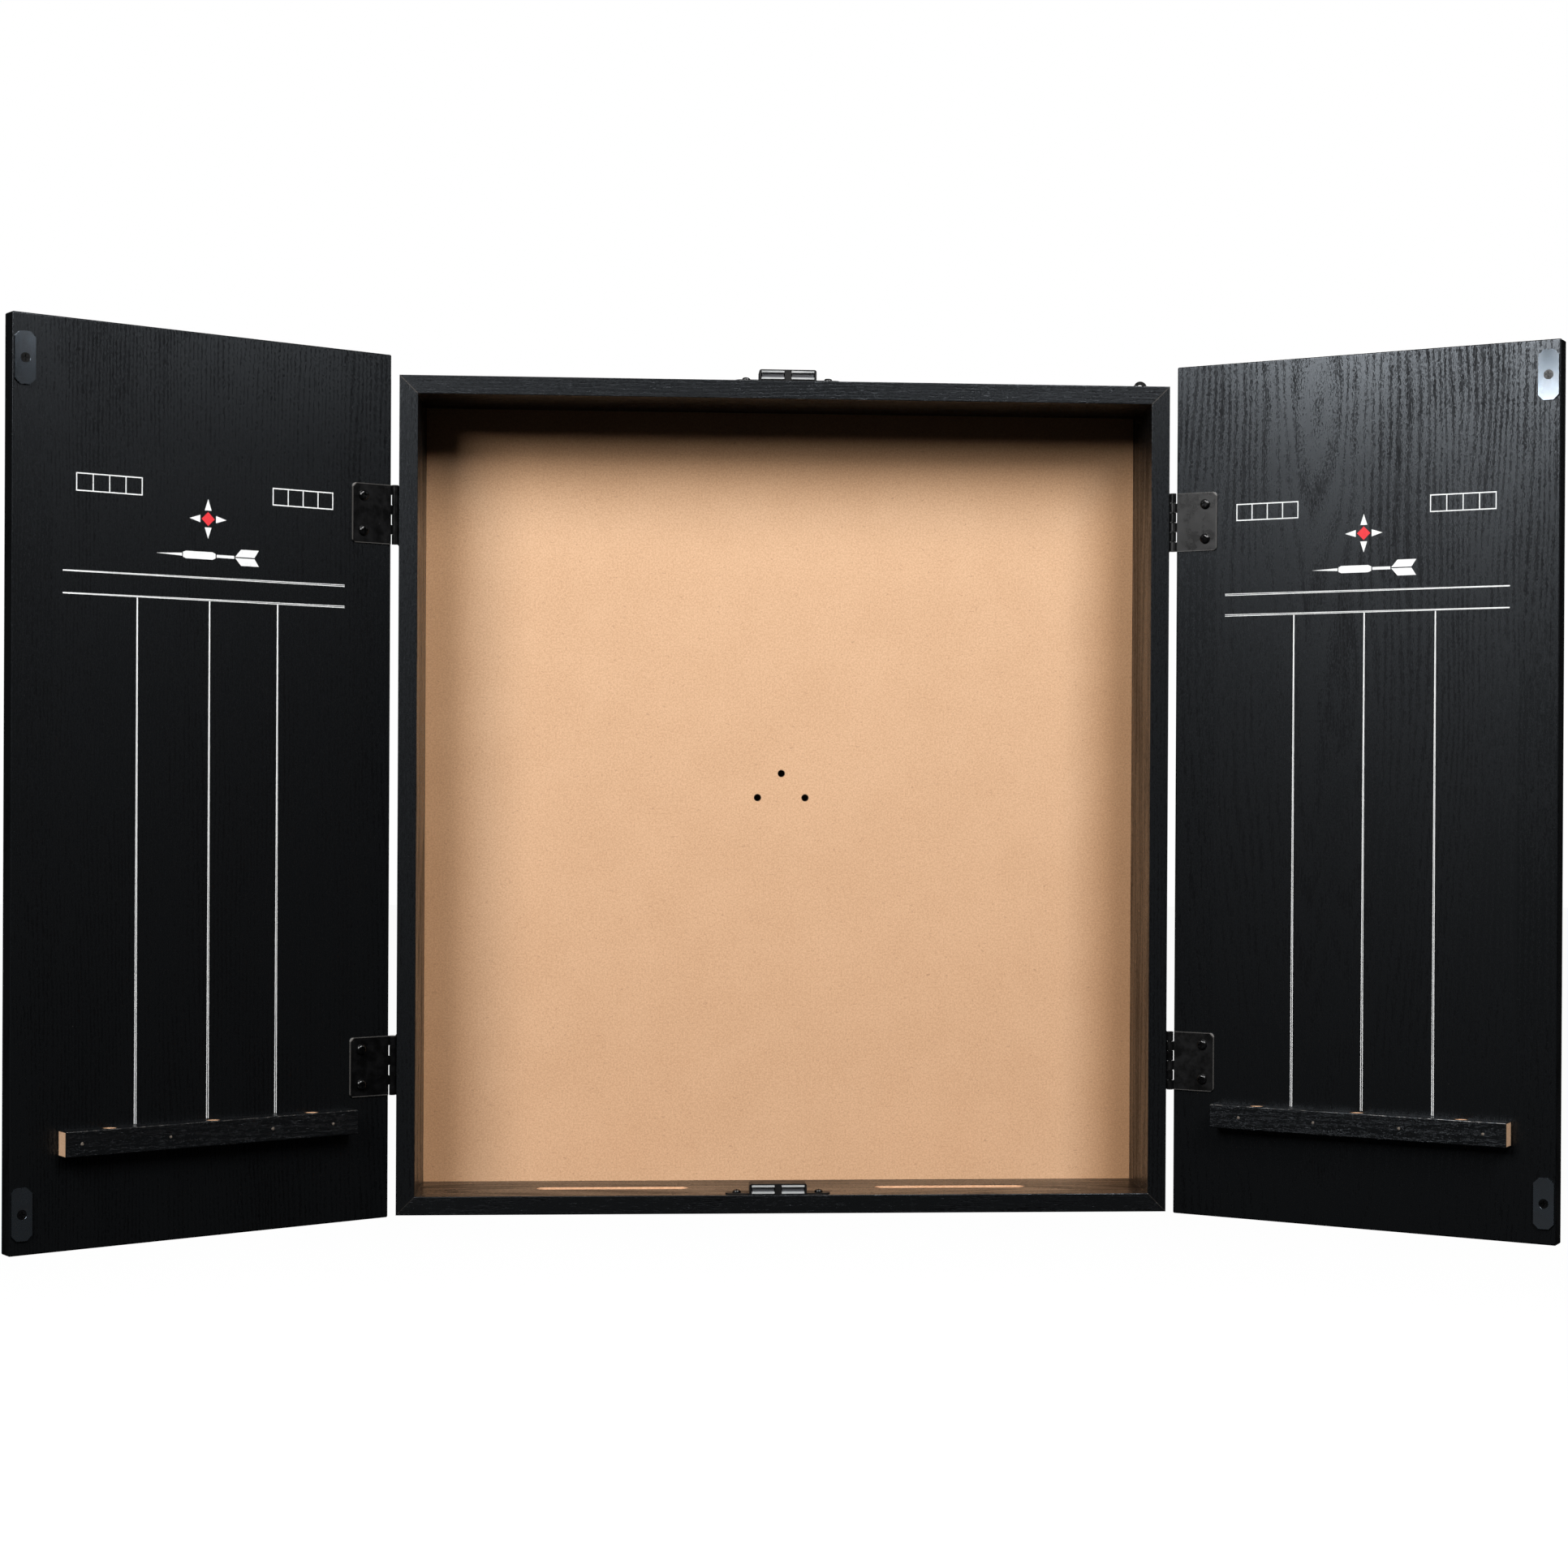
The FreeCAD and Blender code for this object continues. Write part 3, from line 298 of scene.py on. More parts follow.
def case_panel_material(node, along, seed, heart):
    """A mitred case panel: foil outside, raw board at its rear edge, its grooves and the mitres' seam."""
    g = Graph(f"{node}_foil")
    point = g.place()
    x, y, z = g.axes(point)
    wrapped = foil(g, point, along, seed, heart, gloss=0.26)
    beyond_x = g.math("SUBTRACT", g.math("ABSOLUTE", x), SIDE_HIGH.x - PANEL)
    beyond_z = g.math("SUBTRACT", g.math("ABSOLUTE", g.math("SUBTRACT", z, CASE_MIDDLE)),
                      (CASE_HIGH - CASE_LOW) / 2 - PANEL)
    off_mitre = g.math("ABSOLUTE", g.math("SUBTRACT", beyond_x, beyond_z))
    seam = g.ramp(off_mitre, 0.15 * MM, 0.5 * MM, 0.8, 0.0)
    colour = g.mix(seam, wrapped[0], (0.11, 0.10, 0.09))
    rear = g.ramp(y, SIDE_HIGH.y - 0.5 * MM, SIDE_HIGH.y - 0.3 * MM)
    raw = rear
    if node == "bottom_panel":
        under = g.inside(z, FLOOR_LOW.z + 1 * MM, FLOOR_HIGH.z - 0.25 * MM)
        near, far = CHALK_GROOVES
        between = g.inside(y, FLOOR_LOW.y + near, FLOOR_LOW.y + far)
        raw = g.math("MAXIMUM", rear, g.math("MULTIPLY", under, between))
    colour, roughness, height = with_raw(g, raw, (colour, *wrapped[1:]), raw_board(g, point))
    metal = g.blend(raw, FOIL_METAL, 0.0)
    return g.finish(colour, roughness, height, 0.05 * MM, Metallic=metal)


GRAIN_HEART = {LEFT: -160 * MM, RIGHT: 95 * MM}      # from the hinge edge


def door_material(door):
    """A wrapped door: vertical grain, and a smoother printed score sheet on its inner face."""
    g = Graph(f"{door.name}_door_foil")
    point = g.place(door.matrix)
    x, y, z = g.axes(point)
    along = g.math("MULTIPLY", g.math("SUBTRACT", x, door.hinge_edge), door.reach)
    height = g.math("SUBTRACT", z, CASE_LOW - door.pin.z)
    sheet = g.math("MULTIPLY", g.inside(along, SHEET_START, SHEET_END, 0.4 * MM),
                   g.inside(height, SHEET_LOW, SHEET_HIGH, 0.4 * MM))
    inner = g.ramp(y, door.inner_face - 0.4 * MM, door.inner_face - 0.2 * MM)
    plain = g.math("MULTIPLY", sheet, inner)
    heart = (door.hinge_edge + GRAIN_HEART[door.side] * door.reach, 0, 500 * MM)
    colour, roughness, bump = foil(g, point, "Z", 0.31 * door.side, heart, plain)
    return g.finish(colour, roughness, bump, 0.036 * MM, Metallic=FOIL_METAL)


RACK_GRAIN = 0.6        # size of the racks' grain against the doors'


def rack_material(door):
    """A wrapped bar whose sawn ends and drilled holes show raw board."""
    g = Graph(f"{door.name}_rack_foil")
    low, high = door.local_box(f"{door.name}_dart_rack")
    point = g.place(door.matrix)
    _, y, z = g.axes(point)
    heart = (0.0, 0.0, (high.z + 30 * MM) / RACK_GRAIN)
    wrapped = foil(g, g.scaled(point, [RACK_GRAIN] * 3), "X", 0.77 * door.side, heart)
    deep_y = g.inside(y, low.y + 0.9 * MM, high.y - 0.9 * MM, 0.3 * MM)
    deep_z = g.inside(z, low.z + 0.5 * MM, high.z - 0.5 * MM, 0.2 * MM)
    raw = g.math("MULTIPLY", deep_y, deep_z)
    worn = g.noise(g.scaled(point, [3 * MM] * 3), 3.0, 0.6)
    high_edge = g.ramp(z, high.z - 0.8 * MM, high.z - 0.1 * MM)
    front_edge = g.ramp(y, high.y - 0.8 * MM, high.y - 0.1 * MM)
    edge = g.math("MULTIPLY", g.math("MULTIPLY", high_edge, front_edge), g.ramp(worn, 0.45, 0.6))
    colour = g.mix(g.math("MULTIPLY", edge, 0.7), wrapped[0], (0.16, 0.15, 0.14))
    colour, roughness, bump = with_raw(g, raw, (colour, *wrapped[1:]), raw_board(g, point))
    return g.finish(colour, roughness, bump, 0.08 * MM, Metallic=g.blend(raw, FOIL_METAL, 0.0))


def board_material():
    """The back panel: raw board, tinted warm at its foot as painted bounce light, ruddier along its sides and top
    as painted shade, and darkened in a ring round each drilled hole.
    """
    g = Graph("raw_back_board")
    point = g.place()
    x, _, z = g.axes(point)
    colour, roughness, height = raw_board(g, point)
    # Painted bounce light: the board is tinted warmer towards its foot
    foot = g.ramp(z, BACK_LOW.z, BACK_HIGH.z, 1.0, 0.0)
    # Painted shade: ruddier and darker within 50 mm of the sides and 80 mm of the top, where the case shades the
    # board
    side = g.ramp(g.math("ABSOLUTE", x), BACK_HIGH.x - 50 * MM, BACK_HIGH.x - 8 * MM)
    top = g.ramp(z, BACK_HIGH.z - 80 * MM, BACK_HIGH.z - 20 * MM)
    for share, tint in ((foot, FOOT_BOUNCE_LIGHT_TINT), (g.math("MAXIMUM", side, top), EDGE_SHADE_TINT)):
        tinted = g.add("Mix", {0: 1.0, 6: colour, 7: (*tint, 1.0)}, data_type="RGBA", blend_type="MULTIPLY")
        colour = g.mix(share, colour, tinted.outputs[2])
    flat = g.add("VectorMath", {0: point, 1: (1.0, 0.0, 1.0)}, operation="MULTIPLY").outputs[0]
    # Each drilled hole gets a near-black brown ring round it
    for x, z, radius in bracket_holes():
        off = g.add("VectorMath", {0: flat, 1: (x, 0.0, z)}, operation="DISTANCE").outputs["Value"]
        rim = g.ramp(off, radius, radius + HOLE_RIM_WIDTH, 0.92, 0.0)
        colour = g.mix(rim, colour, (0.02, 0.012, 0.007))
    return g.finish(colour, roughness, height, 0.05 * MM, Specular_IOR_Level=0.25)


# ---------------------------------------------------------------- metal and plastic

LEAF_GLOSS = {LEFT: (0.2, 0.36), RIGHT: (0.28, 0.56)}       # roughness and shine of the door leaves


def leaf_rim_highlight_and_wear(g, door, node):
    """About a third along a door leaf's rim, its far edge and its two ends, as a painted highlight, and 1 at its
    worn upper far corner.
    """
    low, high = door.local_box(node)
    far = high.x if door.side == LEFT else low.x
    x, _, z = g.axes(g.place(door.matrix))
    from_far = g.math("ABSOLUTE", g.math("SUBTRACT", x, far))
    from_end = g.math("MINIMUM", g.math("ABSOLUTE", g.math("SUBTRACT", z, low.z)),
                      g.math("ABSOLUTE", g.math("SUBTRACT", z, high.z)))
    # Painted highlight: a steady bright band along the leaf's edges; the corner below is wear
    rim = g.ramp(g.math("MINIMUM", from_far, from_end), 0.15 * MM, 0.6 * MM, 0.36, 0.0)
    from_corner = g.math("ADD", from_far, g.math("ABSOLUTE", g.math("SUBTRACT", z, high.z)))
    return g.math("MAXIMUM", rim, g.ramp(from_corner, 2.0 * MM, 3.6 * MM, 1.0, 0.0))


def painted_steel(name, wear, roughness, shine=0.3, door=None, node=None):
    """Black stoved paint with a slight orange peel, rubbed through here and there.

    A door leaf is given with its door, and gets a painted highlight along its rim and is worn at its upper far
    corner.
    """
    g = Graph(name)
    point = g.place()
    peel = g.noise(g.scaled(point, [0.8 * MM] * 3), 2.0, 0.5)
    smear = g.noise(g.scaled(point, [7 * MM] * 3), 4.0, 0.6)
    bare_and_highlight = g.math("MULTIPLY", g.ramp(g.noise(g.scaled(point, [1.6 * MM] * 3), 4.0, 0.7), 0.70, 0.74), wear)
    colour = g.mix(g.ramp(smear, 0.35, 0.7), (0.0015, 0.0015, 0.0016), (0.004, 0.004, 0.0043))
    if door is not None:
        # A door leaf adds its painted rim highlight and worn corner to the rubbed-through spots
        bare_and_highlight = g.math("MAXIMUM", bare_and_highlight, leaf_rim_highlight_and_wear(g, door, node))
    colour = g.mix(bare_and_highlight, colour, (0.20, 0.19, 0.18))
    rough = g.ramp(smear, 0.3, 0.7, roughness - 0.04, roughness + 0.06)
    return g.finish(colour, rough, peel, 0.012 * MM, Specular_IOR_Level=shine)


# A strike rises from its screw by this many metres for each square metre of the distance squared
PLATE_BOW = {LEFT: 0.08, RIGHT: 0.5}


def plated_steel(name, bright, dull, roughness, axis="Z", spread=0.1, screw_height=None, bow=0.0):
    """Plated sheet with rolling marks along one axis, cloudy patches and fine scratches.

    A plate with a screw at `screw_height` is pulled in there by `bow`.
    """
    g = Graph(name)
    point = g.place()
    rolled = g.noise(g.scaled(point, stretched(axis, 0.25, 14)), 2.0, 0.6)
    cloud = g.noise(g.scaled(point, [9 * MM] * 3), 3.0, 0.5)
    scratch = g.noise(g.scaled(point, [1.1 * MM, 1.1 * MM, 0.12 * MM]), 2.0, 0.5)
    colour = g.mix(g.ramp(cloud, 0.38, 0.66), bright, dull)
    rough = g.math("ADD", g.ramp(cloud, 0.35, 0.7, roughness, roughness + spread),
                   g.ramp(scratch, 0.62, 0.72, 0.0, spread))
    height = g.math("MULTIPLY", rolled, 0.002 * MM)
    if screw_height is not None:
        off_screw = g.math("SUBTRACT", g.axes(point)[2], screw_height)
        height = g.math("ADD", height, g.math("MULTIPLY", g.math("POWER", off_screw, 2.0), bow))
    return g.finish(colour, rough, height, 1.0, Metallic=1.0)


def strike_material(node):
    """A strike plate, bowed at its own screw. The lower ones are duller."""
    low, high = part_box(node)
    bow = PLATE_BOW[LEFT if node.startswith("left") else RIGHT]
    roughness = 0.26 if "bottom" in node else 0.1
    return plated_steel(f"{node}_plate", (0.265, 0.31, 0.36), (0.195, 0.22, 0.25), roughness,
                        spread=0.03, screw_height=(low.z + high.z) / 2, bow=bow)


def ferrite():
    """Sintered magnet: dark grey, ground flat, with pits."""
    g = Graph("ground_ferrite")
    point = g.place()
    grit = g.noise(g.scaled(point, [0.5 * MM] * 3), 4.0, 0.7)
    lines = g.noise(g.scaled(point, stretched("X", 0.3, 9)), 2.0, 0.6)
    colour = g.mix(g.ramp(grit, 0.3, 0.7), (0.09, 0.092, 0.098), (0.035, 0.036, 0.04))
    rough = g.ramp(lines, 0.3, 0.7, 0.3, 0.5)
    return g.finish(colour, rough, grit, 0.03 * MM, Metallic=0.4)


def moulded_plastic():
    """Black moulded plastic with a fine spark-eroded texture."""
    g = Graph("moulded_black")
    point = g.place()
    texture = g.noise(g.scaled(point, [0.22 * MM] * 3), 3.0, 0.6)
    smear = g.noise(g.scaled(point, [6 * MM] * 3), 3.0, 0.6)
    colour = g.mix(smear, (0.003, 0.003, 0.003), (0.006, 0.006, 0.006))
    rough = g.ramp(smear, 0.3, 0.7, 0.42, 0.55)
    return g.finish(colour, rough, texture, 0.025 * MM, Specular_IOR_Level=0.25)


def ink(name, fresh, worn):
    """Screen-printed ink: chalky, a little uneven, thinner over the pores."""
    g = Graph(name)
    point = g.place()
    thin = g.noise(g.scaled(point, [0.9 * MM, 0.9 * MM, 5 * MM]), 3.0, 0.65)
    patch = g.noise(g.scaled(point, [22 * MM] * 3), 2.0, 0.5)
    wear = g.math("ADD", g.ramp(thin, 0.58, 0.75, 0.0, 0.4), g.ramp(patch, 0.45, 0.7, 0.0, 0.25), clamp=True)
    return g.finish(g.mix(wear, fresh, worn), g.ramp(thin, 0.3, 0.7, 0.5, 0.7), thin, 0.02 * MM)


def filler_material():
    """Dabs of grey-brown wood filler."""
    g = Graph("wood_filler")
    point = g.place()
    grain = g.noise(g.scaled(point, [0.5 * MM] * 3), 3.0, 0.7)
    colour = g.mix(g.ramp(grain, 0.35, 0.65), (0.20, 0.165, 0.13), (0.07, 0.055, 0.045))
    return g.finish(colour, g.ramp(grain, 0.3, 0.7, 0.6, 0.8), grain, 0.05 * MM)


# ---------------------------------------------------------------- printed score sheets

def placed(name, mesh, material):
    """Puts a finished mesh into the scene, with one material."""
    data = bpy.data.meshes.new(name)
    mesh.to_mesh(data)
    mesh.free()
    data.materials.append(material)
    piece = bpy.data.objects.new(name, data)
    bpy.context.scene.collection.objects.link(piece)
    return piece


# On a door's inner face, in metres: along from the hinge edge, height above the case's foot
SHEET_START = 27 * MM
SHEET_END = 225 * MM
SHEET_LOW = 60 * MM
SHEET_HIGH = 477 * MM
INK_THICK = 0.06 * MM
STROKE = 0.42 * MM


class Outline:
    """Flat shapes gathered into one thin closed mesh on a door's inner face."""

    def __init__(self, door):
        self.door = door
        self.mesh = bmesh.new()

    def shape(self, corners):
        """A thin plate with the given corners, each (along, height)."""
        base = [self.mesh.verts.new(self.door.point(a, h, 0.0)) for a, h in corners]
        top = [self.mesh.verts.new(self.door.point(a, h, INK_THICK)) for a, h in corners]
        self.mesh.faces.new(base)
        self.mesh.faces.new(reversed(top))
        for index, corner in enumerate(base):
            after = (index + 1) % len(base)
            self.mesh.faces.new((base[after], corner, top[index], top[after]))

    def bar(self, start, end, width):
        """A straight bar between two points."""
        (a0, h0), (a1, h1) = start, end
        length = math.hypot(a1 - a0, h1 - h0)
        da = -(h1 - h0) / length * width / 2
        dh = (a1 - a0) / length * width / 2
        self.shape([(a0 + da, h0 + dh), (a0 - da, h0 - dh), (a1 - da, h1 - dh), (a1 + da, h1 + dh)])

    def double(self, start, end, gap_start, gap_end):
        """Two strokes side by side, whose middles are a gap apart at each end."""
        (a0, h0), (a1, h1) = start, end
        length = math.hypot(a1 - a0, h1 - h0)
        across = (-(h1 - h0) / length, (a1 - a0) / length)
        for way in (-0.5, 0.5):
            ends = [(a + across[0] * gap * way, h + across[1] * gap * way)
                    for a, h, gap in ((a0, h0, gap_start), (a1, h1, gap_end))]
            self.bar(*ends, STROKE)

    def build(self, name, material):
        """Closes the outline's mesh off as one piece that rides the door."""
        bmesh.ops.recalc_face_normals(self.mesh, faces=self.mesh.faces)
        piece = placed(name, self.mesh, material)
        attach(piece, self.door.body)


RULE_ENDS = {LEFT: (33.1 * MM, 218.8 * MM), RIGHT: (33.9 * MM, 219.3 * MM)}
RULE_HEIGHTS = (402.8 * MM, 389.4 * MM)
COLUMN_PLACES = {LEFT: (79.5 * MM, 125.2 * MM, 172.1 * MM), RIGHT: (80.6 * MM, 127.0 * MM, 172.8 * MM)}
TALLY_STARTS = (41.7 * MM, 169.3 * MM)
TALLY_LOW = 450.7 * MM
TALLY_CELL = 10.3 * MM
EMBLEM = (126.4 * MM, 439.0 * MM)
DART_MIDDLE = (126.4 * MM, 416.5 * MM)


def score_rules(door, material):
    """Two long rules and the three column lines that run down to the dart rack."""
    lines = Outline(door)
    start, end = RULE_ENDS[door.side]
    for height in RULE_HEIGHTS:
        lines.double((start, height), (end, height), 0.95 * MM, STROKE)
    rack_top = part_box(f"{door.name}_dart_rack")[1].z - CASE_LOW
    top = RULE_HEIGHTS[-1] - STROKE * 1.8
    for along in COLUMN_PLACES[door.side]:
        lines.double((along, top), (along, rack_top + 0.3 * MM), STROKE, 1.1 * MM)
    lines.build(f"{door.name}_score_rules", material)


def tally_boxes(door, material):
    """Two rows of four square cells."""
    boxes = Outline(door)
    width = 0.7 * MM
    half = width / 2
    high = TALLY_LOW + TALLY_CELL
    for start in TALLY_STARTS:
        end = start + TALLY_CELL * 4
        for height in (TALLY_LOW, high):
            boxes.bar((start - half, height), (end + half, height), width)
        for line in range(5):
            along = start + TALLY_CELL * line
            boxes.bar((along, TALLY_LOW + half), (along, high - half), width * 0.9)
    boxes.build(f"{door.name}_tally_boxes", material)


def star(door, white, red):
    """A generic four-pointed star with a red diamond in an open centre."""
    rays = Outline(door)
    a, h = EMBLEM
    long_ray = 12.2 * MM
    half_foot = 2.232 * MM      # half a ray's width where it starts
    hollow = 5.2 * MM
    for quarter in range(4):
        angle = math.pi / 2 * quarter
        ca, sa = math.cos(angle), math.sin(angle)

        def turned(out, side):
            return a + out * ca - side * sa, h + out * sa + side * ca

        rays.shape([turned(hollow, half_foot), turned(hollow, -half_foot), turned(long_ray, 0)])
    rays.build(f"{door.name}_star_rays", white)
    centre = Outline(door)
    size = 4.3 * MM
    centre.shape([(a + size, h), (a, h + size), (a - size, h), (a, h - size)])
    centre.build(f"{door.name}_star_centre", red)


def dart_print(door, white):
    """A generic dart drawn in silhouette: point, barrel, stem and two flights."""
    dart = Outline(door)
    a, h = DART_MIDDLE
    way = -1 if door.side == LEFT else 1

    def at(along, height):
        return a + along * MM * way, h + height * MM

    dart.shape([at(-34, 0), at(-17, 0.9), at(-17, -0.9)])
    dart.shape([at(-16.4, 1.5), at(-14.5, 2.3), at(3, 2.3), at(5, 1.4), at(5, -1.4), at(3, -2.3),
                at(-14.5, -2.3), at(-16.4, -1.5)])
    dart.shape([at(5.7, 0.9), at(17.4, 0.9), at(17.4, -0.9), at(5.7, -0.9)])
    for up in (-1, 1):
        dart.shape([at(18, 0.35 * up), at(22, 5 * up), at(34, 5 * up), at(31, 0.35 * up)])
    dart.build(f"{door.name}_dart_print", white)


BRAD_GAP = 6 * MM           # two brads of a rack stand further apart than this
FILLER_RADIUS = 0.9 * MM
FILLER_SPREAD = 0.15 * MM   # a dab's radius differs from FILLER_RADIUS by up to this
FILLER_SUNK = 0.04 * MM     # a dab's foot under the rack's face
FILLER_RINGS = ((1.0, 0.0), (0.8, 0.10 * MM), (0.4, 0.16 * MM))     # share of the radius, rise
FILLER_SEGMENTS = 20


def brad_places(door):
    """Where the rack's brads stand, each as x in the door's frame."""
    back = door.matrix.inverted()
    places = sorted((back @ vertex.co).x for vertex in NODES[f"{door.name}_rack_brads"].data.vertices)
    brads = [[places[0]]]
    for before, place in zip(places, places[1:]):
        if place - before > BRAD_GAP:
            brads.append([])
        brads[-1].append(place)
    return [(brad[0] + brad[-1]) / 2 for brad in brads]


def brad_fillers(door, material):
    """Dabs of filler over the rack's brads: low uneven domes in the sunk holes."""
    low, high = door.local_box(f"{door.name}_dart_rack")
    height = (low.z + high.z) / 2
    mesh = bmesh.new()
    for index, middle in enumerate(brad_places(door)):
        radius = FILLER_RADIUS + FILLER_SPREAD * math.sin(index * 2.3)
        rings = []
        for share, rise in FILLER_RINGS:
            ring = []
            for step in range(FILLER_SEGMENTS):
                angle = math.tau * step / FILLER_SEGMENTS
                wobble = 1 + 0.12 * math.sin(3 * angle + index) + 0.07 * math.sin(5 * angle + 2 * index)
                out = radius * share * wobble
                spot = Vector((middle + math.cos(angle) * out, high.y - FILLER_SUNK + rise,
                               height + math.sin(angle) * out))
                ring.append(mesh.verts.new(door.matrix @ spot))
            rings.append(ring)
        mesh.faces.new(rings[0])
        mesh.faces.new(reversed(rings[-1]))
        for lower, upper in zip(rings, rings[1:]):
            for step in range(FILLER_SEGMENTS):
                after = (step + 1) % FILLER_SEGMENTS
                mesh.faces.new((lower[step], lower[after], upper[after], upper[step]))
    bmesh.ops.recalc_face_normals(mesh, faces=mesh.faces)
    piece = placed(f"{door.name}_brad_fillers", mesh, material)
    piece.data.shade_smooth()
    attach(piece, door.body)


# ---------------------------------------------------------------- finishes

def paint(node, material):
    """Gives a CAD node's object one material."""
    slots = NODES[node].data.materials
    slots.clear()
    slots.append(material)


def finishes():
    """A material for every CAD node."""
    side_heart = (0.0, SIDE_LOW.y, CASE_MIDDLE)
    rail_heart = (0.0, SIDE_LOW.y + 20 * MM, 0.0)
    paint("left_side_panel", case_panel_material("left_side_panel", "Z", 0.13, side_heart))
    paint("right_side_panel", case_panel_material("right_side_panel", "Z", 0.57, side_heart))
    paint("top_panel", case_panel_material("top_panel", "X", 0.29, rail_heart))
    paint("bottom_panel", case_panel_material("bottom_panel", "X", 0.83, rail_heart))
    paint("back_panel", board_material())
    leaf_paint = painted_steel("hinge_paint", 0.35, 0.2, 0.46)
    screw_black = painted_steel("screw_black", 0.3, 0.15, 0.55)
    strap_paint = painted_steel("strap_paint", 0.5, 0.3)
    # Painted shade: the top poles get a darker copy of the bottom poles' steel, to hold down the light they catch
    bright_pole = plated_steel("bright_pole", (0.82, 0.84, 0.84), (0.64, 0.66, 0.66), 0.56, "X")
    dull_pole = plated_steel("dull_pole", (0.40, 0.41, 0.41), (0.29, 0.30, 0.30), 0.52, "X")
    brad_steel = plated_steel("brad_steel", (0.35, 0.34, 0.33), (0.14, 0.13, 0.12), 0.4)
    magnet = ferrite()
    plastic = moulded_plastic()
    for node in NODES:
        if node.endswith(("_case_leaf", "_hinge_pin")):
            paint(node, leaf_paint)
        elif node.endswith("_strike"):
            paint(node, strike_material(node))
        elif node.endswith("_poles"):
            paint(node, dull_pole if node.startswith("top") else bright_pole)
        elif node.endswith("_magnets"):
            paint(node, magnet)
        elif node.endswith("_housing"):
            paint(node, plastic)
        elif "strap" in node:
            paint(node, strap_paint)
        elif node.endswith("_rack_brads"):
            paint(node, brad_steel)
        elif node.endswith("_screws"):
            paint(node, screw_black)
    for door in DOORS.values():
        gloss = LEAF_GLOSS[door.side]
        for hinge in ("top", "bottom"):
            leaf = f"{door.name}_{hinge}_door_leaf"
            paint(leaf, painted_steel(f"{leaf}_paint", 0.35, *gloss, door, leaf))
        paint(f"{door.name}_door_panel", door_material(door))
        paint(f"{door.name}_dart_rack", rack_material(door))


# ---------------------------------------------------------------- stage

def softbox(name, place, target, width, height, power, diffuse=True):
    """A rectangular area light aimed at a point."""
    light = bpy.data.lights.new(name, "AREA")
    light.shape = "RECTANGLE"
    light.size = width
    light.size_y = height
    light.energy = power
    lamp = bpy.data.objects.new(name, light)
    lamp.location = place
    aim = Vector(target) - Vector(place)
    lamp.rotation_euler = aim.to_track_quat("-Z", "Y").to_euler()
    lamp.visible_diffuse = diffuse
    lamp.visible_camera = False
    bpy.context.scene.collection.objects.link(lamp)


def wall_patch():
    """Dark discs close behind the bracket holes: painted shade standing in for the shadowed wall behind them."""
    mesh = bmesh.new()
    upright = Matrix.Rotation(math.pi / 2, 4, "X")
    for x, z, radius in bracket_holes():
        behind = Matrix.Translation((x, BACK_HIGH.y + 0.6 * MM, z)) @ upright
        bmesh.ops.create_circle(mesh, cap_ends=True, segments=32, radius=radius + 0.8 * MM, matrix=behind)
    # Painted shade: a near-black card where the holes would show the shadowed wall
    shade_card = Graph("unlit_wall").finish((0.004, 0.003, 0.002, 1), 0.9)
    patch = placed("wall_patch", mesh, shade_card)


def lights():
    """Two softboxes before the cabinet, a weak gloss light at the right, and one behind."""
    centre = (0.0, -0.1, CASE_MIDDLE)
    softbox("left_softbox", (-1.09, -1.6, 1.4), centre, 1.04, 1.1, 45)
    softbox("right_softbox", (0.81, -1.6, 1.75), centre, 0.83, 1.1, 51)
    softbox("side_softbox", (2.4, -1.5, 1.25), (-0.3, -0.2, 0.45), 1.1, 0.4, 2.2, diffuse=False)
    softbox("rear_softbox", (0.9, 2.2, 1.6), centre, 1.8, 1.8, 60)


FLOOR_REACH = 30        # metres each way
FLOOR_DROP = 1.1        # metres under the cabinet's foot
FLOOR_GLOW = 0.95
SURROUND_LIGHT = 0.012  # strength of the surround for all but the camera


def pale_floor():
    """A plain pale floor far below, which only the camera sees."""
    mesh = bmesh.new()
    bmesh.ops.create_grid(mesh, x_segments=1, y_segments=1, size=FLOOR_REACH)
    pale = Graph("pale_floor")
    pale.finish((0.9, 0.9, 0.9, 1), 0.8)
    pale.shader.inputs["Emission Color"].default_value = (1, 1, 1, 1)
    pale.shader.inputs["Emission Strength"].default_value = FLOOR_GLOW
    floor = placed("floor", mesh, pale.material)
    floor.location = (0, 0, CASE_LOW - FLOOR_DROP)
    floor.visible_diffuse = False
    floor.visible_glossy = False


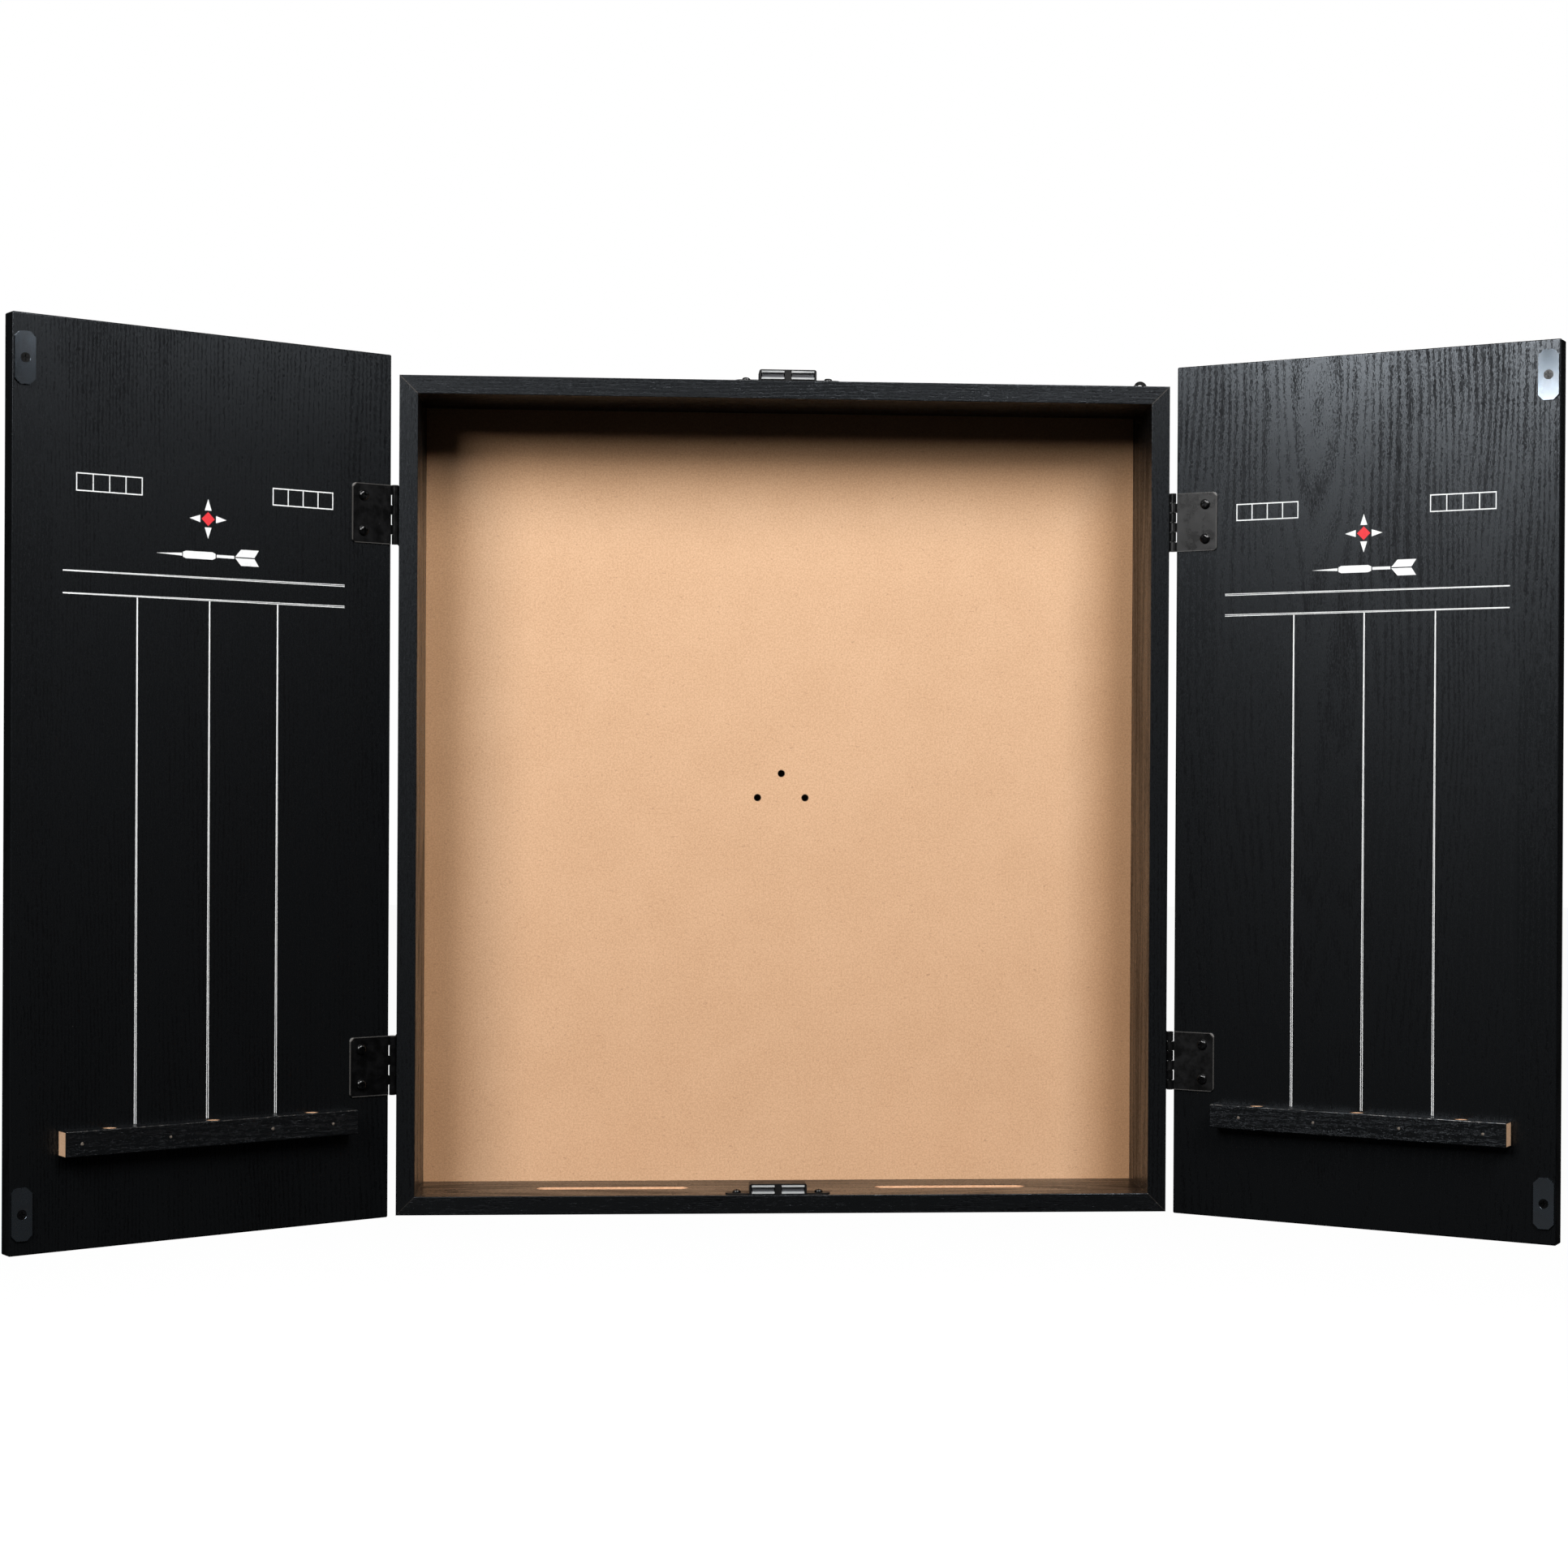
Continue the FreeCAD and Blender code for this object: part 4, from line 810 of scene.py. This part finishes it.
def surround():
    """A white surround for the camera, and a nearly dark one for everything else."""
    world = bpy.data.worlds.new("pale_surround")
    bpy.context.scene.world = world
    world.use_nodes = True
    nodes, links = world.node_tree.nodes, world.node_tree.links
    seen = nodes["Background"]
    seen.inputs["Color"].default_value = (1, 1, 1, 1)
    seen.inputs["Strength"].default_value = 1.0
    dim = nodes.new("ShaderNodeBackground")
    dim.inputs["Color"].default_value = (1, 1, 1, 1)
    dim.inputs["Strength"].default_value = SURROUND_LIGHT
    path = nodes.new("ShaderNodeLightPath")
    choose = nodes.new("ShaderNodeMixShader")
    links.new(path.outputs["Is Camera Ray"], choose.inputs[0])
    links.new(dim.outputs[0], choose.inputs[1])
    links.new(seen.outputs[0], choose.inputs[2])
    links.new(choose.outputs[0], nodes["World Output"].inputs[0])


# Camera: place before the case front and above its foot, in metres, and aim in degrees
CAMERA_SIDE = -0.09045
CAMERA_BACK = 1.74277
CAMERA_HEIGHT = 0.27497
CAMERA_YAW = -3.877
CAMERA_PITCH = -0.196
CAMERA_ROLL = 0.302
CAMERA_LENS = 61.8
CAMERA_SHIFT = (-0.0287, 0.0096)


def camera():
    """A long lens a little left of the cabinet's middle, at half its height."""
    data = bpy.data.cameras.new("camera")
    data.sensor_width = 36
    data.lens = CAMERA_LENS
    data.shift_x, data.shift_y = CAMERA_SHIFT
    data.clip_start = 0.05
    item = bpy.data.objects.new("camera", data)
    turn = (Matrix.Rotation(math.radians(CAMERA_YAW), 4, "Z")
            @ Matrix.Rotation(math.radians(CAMERA_PITCH), 4, "X")
            @ Matrix.Rotation(math.radians(-CAMERA_ROLL), 4, "Y")
            @ Matrix.Rotation(math.radians(90), 4, "X"))
    place = Vector((CAMERA_SIDE, SIDE_LOW.y - CAMERA_BACK, CASE_LOW + CAMERA_HEIGHT))
    item.matrix_world = Matrix.Translation(place) @ turn
    bpy.context.scene.collection.objects.link(item)
    bpy.context.scene.camera = item
    bpy.context.scene.view_settings.view_transform = "Standard"


def prints():
    """The printed score sheets and the fillers, on both doors."""
    white = ink("white_ink", (0.86, 0.87, 0.87), (0.52, 0.53, 0.53))
    red = ink("red_ink", (0.72, 0.02, 0.03), (0.48, 0.015, 0.02))
    filler = filler_material()
    for door in DOORS.values():
        score_rules(door, white)
        tally_boxes(door, white)
        star(door, white, red)
        dart_print(door, white)
        brad_fillers(door, filler)


finishes()
prints()
lights()
pale_floor()
wall_patch()
surround()
camera()
bpy.context.view_layer.update()
